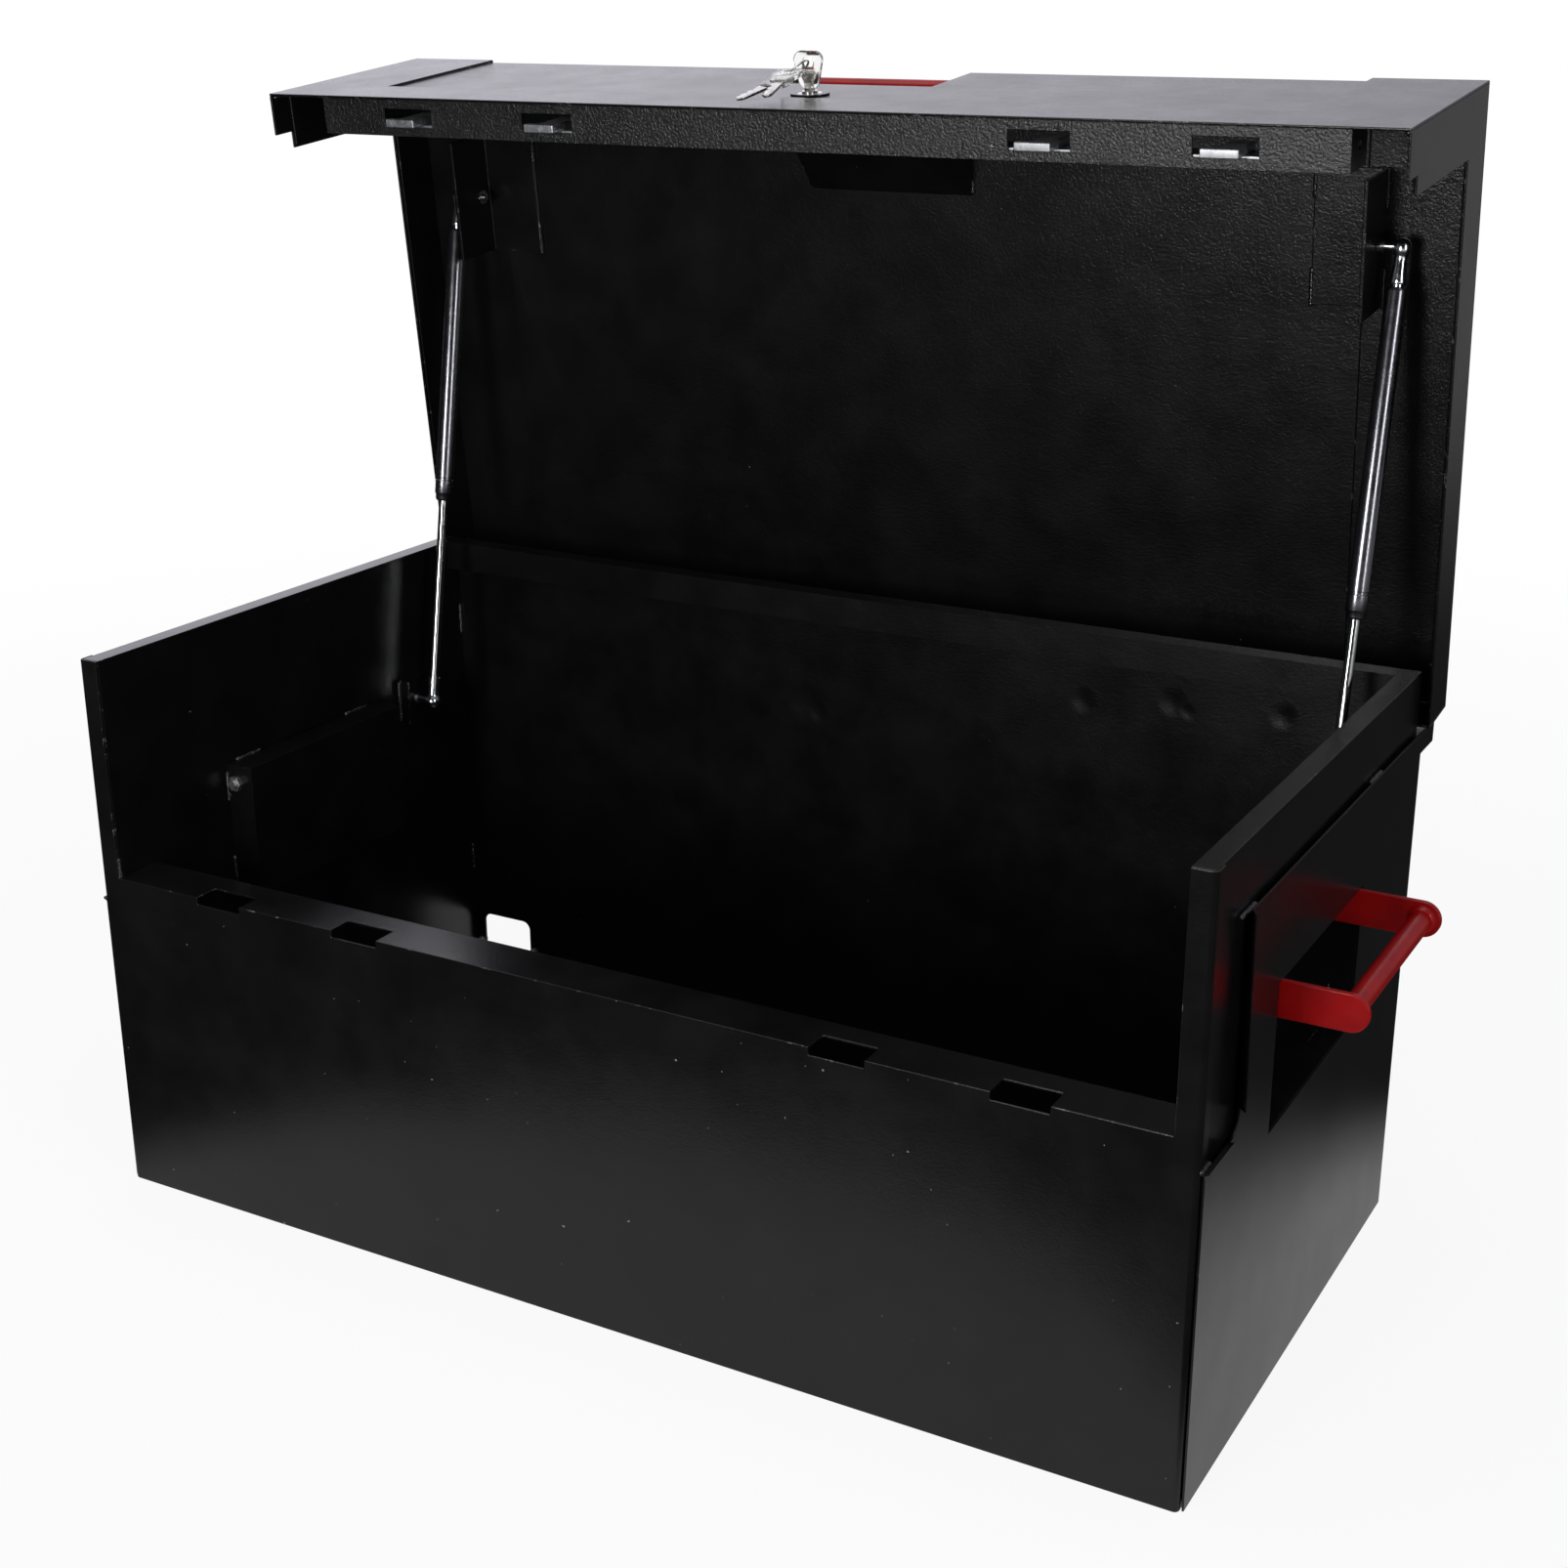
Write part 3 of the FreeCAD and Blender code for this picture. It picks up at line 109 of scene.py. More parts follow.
# The photograph's viewpoint: place in metres and turns in radians
CAMERA_PLACE = (0.85108, -1.44548, 0.95254)
CAMERA_TURN = 0.50128
CAMERA_TILT = 1.22774
CAMERA_ROLL = 0.01168
SENSOR_WIDTH = 36.0

# Fixed colours of the finishes
WHITE = (1, 1, 1, 1)
DUST = (0.22, 0.22, 0.22, 1)
BARE_STEEL = (0.15, 0.15, 0.155, 1)
RUBBED_RED = (0.10, 0.02, 0.02, 1)
# Grey metal tones of the strut cylinders: painted sheen for the bright stripes that lamps make on the black
# cylinders
PAINTED_SHEEN_GREYS = ((0.25, 0.25, 0.28, 1), (0.32, 0.32, 0.35, 1))
CLEAR_TONES = ((0.93, 0.94, 0.93, 1), (0.98, 0.98, 0.97, 1))

# Angles, gaps and steps of the meshes
FLAT_ANGLE = math.radians(0.05)
SHARP_CORNER = math.radians(30)
SAME_POINT = 2e-6
ON_AXIS = 1e-7
COLLAR_FACETS = 40
FLOOR_SIDES = 64

BLACK_SHEETS = {
    "front_panel": "trunk", "floor_panel": "trunk", "rear_ledge": "trunk",
    "side_frame_left": "trunk", "side_frame_right": "trunk",
    "side_skin_left": "trunk", "side_skin_right": "trunk",
    "recess_box_left": "trunk", "recess_box_right": "trunk",
    "strut_foot_bracket_left": "trunk", "strut_foot_bracket_right": "trunk",
    "lid_shell": "lid", "lid_side_left": "lid", "lid_side_right": "lid",
    "lid_doubler_left": "lid", "lid_doubler_right": "lid", "pull_pocket": "lid",
    "strut_head_bracket_left": "lid", "strut_head_bracket_right": "lid", "lock_channel": "lid",
}
LID_FINISHED = ("lid_", "pull_pocket", "strut_head_bracket", "lock_channel")


# Sizes and colours a user would change

class TrunkFinish(bpy.types.PropertyGroup):
    """Colours and surface of the paints, platings and plastic."""
    coat_colour: bpy.props.FloatVectorProperty(
        name="Black coat", description="Colour of the black textured powder coat",
        subtype="COLOR", size=4, min=0, max=1, default=(0.0042, 0.0042, 0.0045, 1))
    coat_gloss: bpy.props.FloatProperty(
        name="Black gloss", description="Specular level of the black coat", min=0, max=1, default=0.50)
    coat_roughness: bpy.props.FloatProperty(
        name="Black roughness", description="Mean roughness of the black coat", min=0, max=1, default=0.23)
    grain_pitch: bpy.props.FloatProperty(
        name="Grain pitch", description="Distance between the grains of the textured coat",
        unit="LENGTH", min=0.0005, max=0.01, default=0.0019)
    grain_depth: bpy.props.FloatProperty(
        name="Grain depth", description="Height of the grains of the textured coat",
        unit="LENGTH", min=0, max=0.001, default=0.00015)
    red_colour: bpy.props.FloatVectorProperty(
        name="Red coat", description="Colour of the gloss red coat on the handles and the pull bar",
        subtype="COLOR", size=4, min=0, max=1, default=(0.32, 0.0015, 0.002, 1))
    zinc_colour: bpy.props.FloatVectorProperty(
        name="Zinc", description="Colour of the bright zinc plating",
        subtype="COLOR", size=4, min=0, max=1, default=(0.84, 0.86, 0.89, 1))
    steel_colour: bpy.props.FloatVectorProperty(
        name="Steel", description="Colour of the plain fasteners",
        subtype="COLOR", size=4, min=0, max=1, default=(0.60, 0.60, 0.61, 1))
    key_colour: bpy.props.FloatVectorProperty(
        name="Key metal", description="Colour of the nickel plated keys and lock plug",
        subtype="COLOR", size=4, min=0, max=1, default=(0.72, 0.71, 0.68, 1))
    chrome_colour: bpy.props.FloatVectorProperty(
        name="Chrome", description="Colour of the strut rods",
        subtype="COLOR", size=4, min=0, max=1, default=(0.78, 0.79, 0.80, 1))


class TrunkSheets(bpy.types.PropertyGroup):
    """Rounding of the sheet metal's edges."""
    edge_round: bpy.props.FloatProperty(
        name="Edge round", description="Radius left on the edges of the folded sheets",
        unit="LENGTH", min=0, max=0.002, default=0.0007)
    edge_steps: bpy.props.IntProperty(
        name="Edge steps", description="Segments across a rounded edge", min=1, max=6, default=2)
    hardware_round: bpy.props.FloatProperty(
        name="Hardware round", description="Radius on the edges of hooks, nuts and handle arms",
        unit="LENGTH", min=0, max=0.002, default=0.0009)


class TrunkWelds(bpy.types.PropertyGroup):
    """Weld beads under the paint."""
    bead_width: bpy.props.FloatProperty(
        name="Bead width", description="Width of a weld bead",
        unit="LENGTH", min=0.001, max=0.01, default=0.0042)
    bead_pitch: bpy.props.FloatProperty(
        name="Bead pitch", description="Distance between the ripples of a bead",
        unit="LENGTH", min=0.0005, max=0.01, default=0.0011)
    seed: bpy.props.IntProperty(
        name="Seed", description="Pattern of the beads' uneven sizes", min=0, default=7)


class TrunkStruts(bpy.types.PropertyGroup):
    """Gas struts."""
    cylinder_radius: bpy.props.FloatProperty(
        name="Cylinder radius", description="Radius of the struts' black cylinders",
        unit="LENGTH", min=0.004, max=0.015, default=0.008)
    rod_radius: bpy.props.FloatProperty(
        name="Rod radius", description="Radius of the struts' rods",
        unit="LENGTH", min=0.002, max=0.008, default=0.004)
    facets: bpy.props.IntProperty(
        name="Facets", description="Segments round the turned parts", min=12, max=96, default=48)


class TrunkKeys(bpy.types.PropertyGroup):
    """Keys and their ring."""
    bow_wide: bpy.props.FloatProperty(
        name="Bow width", description="Width of a key's clear plastic bow",
        unit="LENGTH", min=0.01, max=0.04, default=0.024)
    bow_tall: bpy.props.FloatProperty(
        name="Bow height", description="Height of a key's clear plastic bow",
        unit="LENGTH", min=0.01, max=0.05, default=0.027)
    bow_thick: bpy.props.FloatProperty(
        name="Bow thickness", description="Thickness of a key's clear plastic bow",
        unit="LENGTH", min=0.001, max=0.008, default=0.003)
    blade_long: bpy.props.FloatProperty(
        name="Blade length", description="Length of a key's blade",
        unit="LENGTH", min=0.01, max=0.05, default=0.026)
    blade_wide: bpy.props.FloatProperty(
        name="Blade width", description="Width of a key's blade",
        unit="LENGTH", min=0.003, max=0.015, default=0.008)
    wire_radius: bpy.props.FloatProperty(
        name="Ring wire", description="Radius of the split ring's wire",
        unit="LENGTH", min=0.0003, max=0.002, default=0.0006)


class TrunkStage(bpy.types.PropertyGroup):
    """Floor, lamps and camera."""
    floor_radius: bpy.props.FloatProperty(
        name="Floor radius", description="Reach of the plain pale floor",
        unit="LENGTH", min=2, max=200, default=60)
    floor_colour: bpy.props.FloatVectorProperty(
        name="Floor", description="Colour of the plain pale floor",
        subtype="COLOR", size=4, min=0, max=1, default=(0.86, 0.86, 0.87, 1))
    floor_lift: bpy.props.FloatProperty(
        name="Floor lift", description="Share of plain white in the floor under the trunk",
        min=0, max=1, default=0.90)
    pool_middle: bpy.props.FloatVectorProperty(
        name="Pool middle", description="Middle of the brightest floor",
        subtype="XYZ", unit="LENGTH", size=2, default=(0.01, 0.02))
    pool_inner: bpy.props.FloatProperty(
        name="Pool inner", description="Reach of the brightest floor",
        unit="LENGTH", min=0, default=0.505)
    pool_outer: bpy.props.FloatProperty(
        name="Pool outer", description="Where the bright floor has faded",
        unit="LENGTH", min=0, default=0.645)
    pool_level: bpy.props.FloatProperty(
        name="Pool level", description="Level of the bright floor, in the gloss",
        min=0, max=2, default=0.48)
    sky_level: bpy.props.FloatProperty(
        name="Surround", description="Level of the soft light from all round",
        min=0, max=2, default=0.40)
    sky_colour: bpy.props.FloatVectorProperty(
        name="Surround colour", description="Tint of the soft light",
        subtype="COLOR", size=4, min=0, max=1, default=(0.93, 0.91, 1.0, 1))
    front_level: bpy.props.FloatProperty(
        name="Front level", description="Level of the dark room in front, in the gloss",
        min=0, max=2, default=0.012)
    back_level: bpy.props.FloatProperty(
        name="Back level", description="Level of the wall behind, in the gloss",
        min=0, max=4, default=1.38)
    right_share: bpy.props.FloatProperty(
        name="Right share", description="Share of the wall's level that is left on its right",
        min=0, max=1, default=0.2)
    sweep_front: bpy.props.FloatProperty(
        name="Sweep in front", description="Level of the distant floor in front, in the gloss",
        min=0, max=2, default=0.5)
    sweep_back: bpy.props.FloatProperty(
        name="Sweep behind", description="Level of the distant floor behind, in the gloss",
        min=0, max=2, default=0.2)
    above_level: bpy.props.FloatProperty(
        name="Above level", description="Level of the ceiling, in the gloss",
        min=0, max=2, default=0.5)
    top_power: bpy.props.FloatProperty(
        name="Top lamp", description="Power of the large lamp above",
        unit="POWER", min=0, max=1000, default=26)
    front_power: bpy.props.FloatProperty(
        name="Front lamp", description="Power of the lamp in front",
        unit="POWER", min=0, max=1000, default=42)
    right_power: bpy.props.FloatProperty(
        name="Right lamp", description="Power of the narrow lamp on the right",
        unit="POWER", min=0, max=1000, default=17)
    lens: bpy.props.FloatProperty(
        name="Lens", description="Focal length on a 36 mm sensor",
        unit="CAMERA", min=10, max=300, default=53.0)


GROUPS = {
    "trunk_finish": TrunkFinish, "trunk_sheets": TrunkSheets, "trunk_welds": TrunkWelds,
    "trunk_struts": TrunkStruts, "trunk_keys": TrunkKeys, "trunk_stage": TrunkStage,
}


# Places, and turns that carry them along with the lid

def move(place):
    """A matrix that moves things by a place."""
    return Matrix.Translation(place)


def turn(angle, axis):
    """A matrix that turns things round an axis."""
    return Matrix.Rotation(angle, 4, axis)


LID_OPEN = move(HINGE) @ turn(-LID_ANGLE, "X") @ move(-HINGE)


def open_lid(point):
    """A place on the shut lid, where it is with the lid open."""
    return LID_OPEN @ Vector(point)


def strut_matrix(side):
    """Turns a strut drawn along Z from its foot ball into its place."""
    line = open_lid(STRUT_HEAD_SHUT) - STRUT_FOOT
    lean = math.atan2(line.z, line.y) - math.pi / 2
    return move(STRUT_FOOT + Vector((side * STRUT_SIDE, 0, 0))) @ turn(lean, "X")


STRUT_LONG = (open_lid(STRUT_HEAD_SHUT) - STRUT_FOOT).length


# Mesh helpers

def new_piece(name, mesh, body, finish, replaced=()):
    """A finished piece that rides on a body and may stand for nodes of the frame."""
    piece = bpy.data.objects.new(name, mesh)
    bpy.context.scene.collection.objects.link(piece)
    mesh.materials.clear()
    mesh.materials.append(finish)
    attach(piece, body)
    if replaced:
        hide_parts(*replaced)
    return piece


def mesh_from(build, name):
    """A mesh from an edit mesh."""
    mesh = bpy.data.meshes.new(name)
    build.to_mesh(mesh)
    build.free()
    return mesh


def clean_copy(node):
    """The node's mesh with its loose triangles joined and its flat faces made whole."""
    build = bmesh.new()
    build.from_mesh(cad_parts[node].data)
    bmesh.ops.remove_doubles(build, verts=build.verts, dist=SAME_POINT)
    bmesh.ops.dissolve_limit(build, angle_limit=FLAT_ANGLE, verts=build.verts, edges=build.edges)
    return mesh_from(build, node + "_shape")


def round_over(piece, radius, steps, edge_finish=None):
    """Round a piece's sharp edges, keep its flats flat, and give the edges a finish of their own."""
    for polygon in piece.data.polygons:
        polygon.use_smooth = True
    bevel = piece.modifiers.new("Edges", "BEVEL")
    bevel.width = radius
    bevel.segments = steps
    bevel.limit_method = "ANGLE"
    bevel.angle_limit = SHARP_CORNER
    bevel.miter_outer = "MITER_ARC"
    bevel.use_clamp_overlap = True
    if edge_finish:
        piece.data.materials.append(edge_finish)
        bevel.material = 1
    flats = piece.modifiers.new("Flats", "WEIGHTED_NORMAL")
    flats.mode = "FACE_AREA"
    flats.weight = 90
    return piece


def lathe(build, profile, facets, matrix):
    """Turn pairs of height and radius round Z, closed at both ends on the axis."""
    rings = []
    for height, radius in profile:
        if radius < ON_AXIS:
            rings.append([build.verts.new(matrix @ Vector((0, 0, height)))])
            continue
        ring = []
        for k in range(facets):
            angle = 2 * math.pi * k / facets
            spot = Vector((radius * math.cos(angle), radius * math.sin(angle), height))
            ring.append(build.verts.new(matrix @ spot))
        rings.append(ring)
    for low, high in zip(rings, rings[1:]):
        for k in range(facets):
            after = (k + 1) % facets
            corners = (low[k % len(low)], low[after % len(low)], high[after % len(high)], high[k % len(high)])
            build.faces.new(list(dict.fromkeys(corners)))


def smooth_by_angle(mesh, angle=35):
    """Smooth shading with edges sharper than an angle kept sharp."""
    for polygon in mesh.polygons:
        polygon.use_smooth = True
    mesh.set_sharp_from_angle(angle=math.radians(angle))
    return mesh


def outward(build):
    """Join a build's doubled points and turn its faces outwards."""
    bmesh.ops.remove_doubles(build, verts=build.verts, dist=ON_AXIS)
    bmesh.ops.recalc_face_normals(build, faces=build.faces)
    return build


def plain_mesh(holder):
    """What an object's modifiers or curve make, as a mesh, with the object itself gone."""
    mesh = bpy.data.meshes.new_from_object(holder.evaluated_get(bpy.context.evaluated_depsgraph_get()))
    bpy.data.objects.remove(holder)
    return mesh


def new_holder(name, data):
    """An object that holds a curve or a line until it is made a plain mesh."""
    holder = bpy.data.objects.new(name, data)
    bpy.context.scene.collection.objects.link(holder)
    return holder


def extrude_outlines(outlines, half_thick, edge, matrix):
    """A flat plate from closed outlines in X and Z, with rounded edges, centred on Y."""
    curve = bpy.data.curves.new("key_part", "CURVE")
    curve.dimensions = "2D"
    curve.fill_mode = "BOTH"
    curve.extrude = half_thick - edge
    curve.bevel_depth = edge
    curve.bevel_resolution = 2
    curve.offset = -edge
    for points in outlines:
        spline = curve.splines.new("POLY")
        spline.points.add(len(points) - 1)
        for point, (across, up) in zip(spline.points, points):
            point.co = (across, up, 0, 1)
        spline.use_cyclic_u = True
    build = bmesh.new()
    build.from_mesh(plain_mesh(new_holder("key_part", curve)))
    build.transform(matrix @ turn(math.pi / 2, "X"))
    return outward(build)


def rounded_rectangle(wide, low, high, corner, steps, narrow):
    """An outline with rounded corners, of one width at its top and another at its foot."""
    points = []
    centres = [(wide / 2 - corner, high - corner, 0), (-wide / 2 + corner, high - corner, 90),
               (-narrow / 2 + corner, low + corner, 180), (narrow / 2 - corner, low + corner, 270)]
    for across, up, start in centres:
        for k in range(steps + 1):
            angle = math.radians(start + 90 * k / steps)
            points.append((across + corner * math.cos(angle), up + corner * math.sin(angle)))
    return points


# Material helpers

def add(tree, kind, inputs=None, **settings):
    """A node with its settings, and its sockets set or linked."""
    node = tree.nodes.new(kind)
    for key, value in settings.items():
        setattr(node, key, value)
    for key, value in (inputs or {}).items():
        socket = node.inputs[key]
        if isinstance(value, bpy.types.NodeSocket):
            tree.links.new(value, socket)
        else:
            socket.default_value = value
    return node


def new_finish(name):
    """A material with one shader, and the object's own coordinates."""
    finish = bpy.data.materials.new(name)
    finish.use_nodes = True
    tree = finish.node_tree
    tree.nodes.clear()
    shader = add(tree, "ShaderNodeBsdfPrincipled")
    output = add(tree, "ShaderNodeOutputMaterial")
    tree.links.new(shader.outputs["BSDF"], output.inputs["Surface"])
    place = add(tree, "ShaderNodeTexCoord").outputs["Object"]
    return finish, tree, shader, place


def noise(tree, place, pitch, detail=2.0, roughness=0.5):
    """A noise whose features are about one pitch wide."""
    found = add(tree, "ShaderNodeTexNoise",
                {"Vector": place, "Scale": 1.0 / pitch, "Detail": detail, "Roughness": roughness})
    return found.outputs["Fac"]


def remap(tree, value, low, high, start, end, bend="LINEAR"):
    """A value stretched from one range to another, and held inside it."""
    ranges = {"Value": value, "From Min": low, "From Max": high, "To Min": start, "To Max": end}
    return add(tree, "ShaderNodeMapRange", ranges, interpolation_type=bend).outputs["Result"]


def reach_from(tree, place, spot):
    """How far a place is from a fixed spot."""
    return add(tree, "ShaderNodeVectorMath", {0: place, 1: spot}, operation="DISTANCE").outputs["Value"]


def maths(tree, operation, first, second):
    """One sum of two values."""
    return add(tree, "ShaderNodeMath", {0: first, 1: second}, operation=operation).outputs["Value"]


def blend_colour(tree, share, first, second):
    """Two colours mixed by a share."""
    found = add(tree, "ShaderNodeMix", {"Factor": share, 6: first, 7: second}, data_type="RGBA")
    return found.outputs[2]


def blend_level(tree, share, first, second):
    """Two levels mixed by a share."""
    return add(tree, "ShaderNodeMix", {"Factor": share, 2: first, 3: second}, data_type="FLOAT").outputs[0]


def raise_surface(tree, height, distance, strength=1.0, under=None):
    """A bump of a real height, over another bump if there is one."""
    inputs = {"Height": height, "Distance": distance, "Strength": strength}
    if under is not None:
        inputs["Normal"] = under
    return add(tree, "ShaderNodeBump", inputs).outputs["Normal"]


def shade(colour, factor):
    """A colour made darker or lighter."""
    return [min(1.0, channel * factor) for channel in colour[:3]] + [1.0]


def make_coat(name, settings, grain=1.0, dents=(), worn=False, gloss=1.0, rougher=0.0):
    """Black powder coat: leathery grain, soft waves in the sheet, dust, dents, and rubbed edges."""
    finish, tree, shader, place = new_finish(name)
    pitch = settings.grain_pitch
    waves = raise_surface(tree, noise(tree, place, 0.16, 0.0), 0.0022, 0.55)
    for spot, radius, depth in dents:
        bowl = remap(tree, reach_from(tree, place, spot), 0.0, radius, 0.0, 1.0, "SMOOTHSTEP")
        waves = raise_surface(tree, bowl, depth, 1.0, waves)
    peel = raise_surface(tree, noise(tree, place, pitch * 3.2, 1.0), settings.grain_depth * 1.6,
                         min(0.5, grain * 0.5), waves)
    leather = remap(tree, noise(tree, place, pitch, 2.0, 0.62), 0.34, 0.60, 0.0, 1.0)
    grained = raise_surface(tree, leather, settings.grain_depth * 0.6, grain, peel)
    tree.links.new(grained, shader.inputs["Normal"])
    dust = remap(tree, noise(tree, place, 0.0034, 0.0), 0.925, 0.93, 0.0, 1.0)
    cloud = noise(tree, place, 0.05, 3.0, 0.6)
    base = blend_colour(tree, remap(tree, cloud, 0.35, 0.7, 0.0, 1.0),
                        shade(settings.coat_colour, 0.75), shade(settings.coat_colour, 1.35))
    base = blend_colour(tree, dust, base, DUST)
    if worn:
        scuffs = remap(tree, noise(tree, place, 0.009, 4.0, 0.65), 0.60, 0.70, 0.0, 0.8)
        base = blend_colour(tree, scuffs, base, BARE_STEEL)
    tree.links.new(base, shader.inputs["Base Color"])
    rough = settings.coat_roughness + rougher
    rubbed = remap(tree, cloud, 0.3, 0.75, rough - 0.02, rough + 0.04)
    tree.links.new(rubbed, shader.inputs["Roughness"])
    shader.inputs["Specular IOR Level"].default_value = min(1.0, settings.coat_gloss * gloss)
    return finish


def make_red_coat(name, settings, worn=False):
    """Gloss red powder coat with a light orange peel and rubbed edges."""
    finish, tree, shader, place = new_finish(name)
    peel = raise_surface(tree, noise(tree, place, 0.0035, 2.0), 0.00012, 0.6)
    fine = raise_surface(tree, noise(tree, place, 0.0009, 2.0), 0.00003, 0.6, peel)
    tree.links.new(fine, shader.inputs["Normal"])
    tone = remap(tree, noise(tree, place, 0.02, 3.0), 0.35, 0.7, 0.0, 1.0)
    base = blend_colour(tree, tone, shade(settings.red_colour, 0.86), shade(settings.red_colour, 1.08))
    if worn:
        scuffs = remap(tree, noise(tree, place, 0.005, 4.0), 0.60, 0.70, 0.0, 0.6)
        base = blend_colour(tree, scuffs, base, RUBBED_RED)
    tree.links.new(base, shader.inputs["Base Color"])
    rubbed = remap(tree, noise(tree, place, 0.012, 4.0), 0.3, 0.7, 0.27, 0.38)
    tree.links.new(rubbed, shader.inputs["Roughness"])
    shader.inputs["Specular IOR Level"].default_value = 0.25
    shader.inputs["Coat Weight"].default_value = 0.08
    shader.inputs["Coat Roughness"].default_value = 0.12
    return finish


def make_plating(name, colour, low, high, pitch, scratch=0.00002):
    """Plated metal with cloudy spangle, fine scratches and dulled patches."""
    finish, tree, shader, place = new_finish(name)
    shader.inputs["Metallic"].default_value = 1.0
    cloud = noise(tree, place, pitch, 4.0, 0.6)
    spangle = remap(tree, cloud, 0.35, 0.68, 0.0, 1.0)
    tree.links.new(blend_colour(tree, spangle, shade(colour, 0.78), shade(colour, 1.12)),
                   shader.inputs["Base Color"])
    dulled = remap(tree, noise(tree, place, pitch * 0.6, 5.0, 0.65), 0.3, 0.72, low, high)
    tree.links.new(dulled, shader.inputs["Roughness"])
    brushed = add(tree, "ShaderNodeMapping", {"Vector": place, "Scale": (90.0, 900.0, 900.0)})
    lines = noise(tree, brushed.outputs["Vector"], 1.0, 3.0)
    tree.links.new(raise_surface(tree, lines, scratch, 0.6), shader.inputs["Normal"])
    return finish


def make_strut_painted_sheen(name):
    """Grey metal on the struts' black cylinders: painted sheen, brighter than the black enamel, that stands in
    for the long stripes of reflected lamp light.
    """
    finish, tree, shader, place = new_finish(name)
    # Grey metal in place of the black enamel: painted sheen that stands in for the reflected stripes
    shader.inputs["Metallic"].default_value = 1.0
    base = blend_colour(tree, noise(tree, place, 0.02, 3.0), *PAINTED_SHEEN_GREYS)
    tree.links.new(base, shader.inputs["Base Color"])
    handled = remap(tree, noise(tree, place, 0.008, 5.0, 0.6), 0.3, 0.75, 0.20, 0.30)
    tree.links.new(handled, shader.inputs["Roughness"])
    tree.links.new(raise_surface(tree, noise(tree, place, 0.006, 2.0), 0.00002, 0.5), shader.inputs["Normal"])
    return finish


def make_clear_plastic(name):
    """Clear moulded plastic of the keys' bows."""
    finish, tree, shader, place = new_finish(name)
    shader.inputs["Transmission Weight"].default_value = 1.0
    shader.inputs["IOR"].default_value = 1.47
    base = blend_colour(tree, noise(tree, place, 0.01, 2.0), *CLEAR_TONES)
    tree.links.new(base, shader.inputs["Base Color"])
    rubbed = remap(tree, noise(tree, place, 0.004, 4.0), 0.3, 0.7, 0.03, 0.12)
    tree.links.new(rubbed, shader.inputs["Roughness"])
    tree.links.new(raise_surface(tree, noise(tree, place, 0.003, 2.0), 0.00006, 0.5), shader.inputs["Normal"])
    return finish


FINISHES = {}


def finish_of(word):
    """A finish made once and shared."""
    settings = bpy.context.scene.trunk_finish
    zinc, steel = settings.zinc_colour, settings.steel_colour
    key, chrome = settings.key_colour, settings.chrome_colour
    makers = {
        "body_paint": lambda: make_coat("black_textured_coat", settings, 0.35),
        "dented_paint": lambda: make_coat("black_coat_with_dents", settings, 0.5, dents=REAR_DENTS),
        "lid_paint": lambda: make_coat("black_lid_coat", settings, 0.8),
        "channel_paint": lambda: make_coat("black_channel_coat", settings, 2.2, gloss=2.0, rougher=0.10),
        "weld_paint": lambda: make_coat("black_coat_on_welds", settings, 0.6, gloss=2.0, rougher=-0.06),
        "hinge_paint": lambda: make_coat("black_hinge_coat", settings, 0.6),
        "lock_black": lambda: make_coat("satin_black_escutcheon", settings, 0.2),
        "worn_paint": lambda: make_coat("black_coat_rubbed_edges", settings, 0.4, worn=True),
        "red_paint": lambda: make_red_coat("gloss_red_coat", settings),
        "worn_red": lambda: make_red_coat("red_coat_rubbed_edges", settings, worn=True),
        "zinc_plate": lambda: make_plating("bright_zinc", zinc, 0.30, 0.50, 0.008),
        "socket_zinc": lambda: make_plating("polished_zinc", zinc, 0.10, 0.24, 0.006),
        "fastener_steel": lambda: make_plating("dull_zinc_steel", steel, 0.28, 0.5, 0.004),
        "key_steel": lambda: make_plating("nickel_plate", key, 0.14, 0.32, 0.005),
        "strut_chrome": lambda: make_plating("hard_chrome", chrome, 0.07, 0.16, 0.012, 0.000006),
        # The strut cylinders' finish is grey metal as painted sheen for their reflected stripes
        "strut_black": lambda: make_strut_painted_sheen("gloss_black_enamel"),
        "clear_plastic": lambda: make_clear_plastic("clear_plastic"),
    }
    if word not in FINISHES:
        FINISHES[word] = makers[word]()
    return FINISHES[word]


# Pieces, one operator each

class TRUNK_OT_sheets(bpy.types.Operator):
    """Give every black sheet rounded edges and its textured coat."""
    bl_idname = "trunk.sheets"
    bl_label = "Coat the sheets"

    def execute(self, context):
        sizes = context.scene.trunk_sheets
        for node, body in BLACK_SHEETS.items():
            slot = "lid_paint" if node.startswith(LID_FINISHED) else "body_paint"
            finish = finish_of("channel_paint" if node == "lock_channel" else slot)
            self.coat(node, body, finish, slot, sizes)
        self.coat("rear_panel", "trunk", finish_of("dented_paint"), "body_paint", sizes)
        for node in ("hinge_body_leaf", "hinge_lid_leaf", "hinge_pin_rod"):
            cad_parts[node].data.materials.clear()
            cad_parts[node].data.materials.append(finish_of("hinge_paint"))
        return {"FINISHED"}

    def coat(self, node, body, finish, slot, sizes):
        """One sheet, with its edges rubbed."""
        piece = new_piece(node + "_sheet", clean_copy(node), body, finish, (node,))
        round_over(piece, sizes.edge_round, sizes.edge_steps, finish_of("worn_paint"))


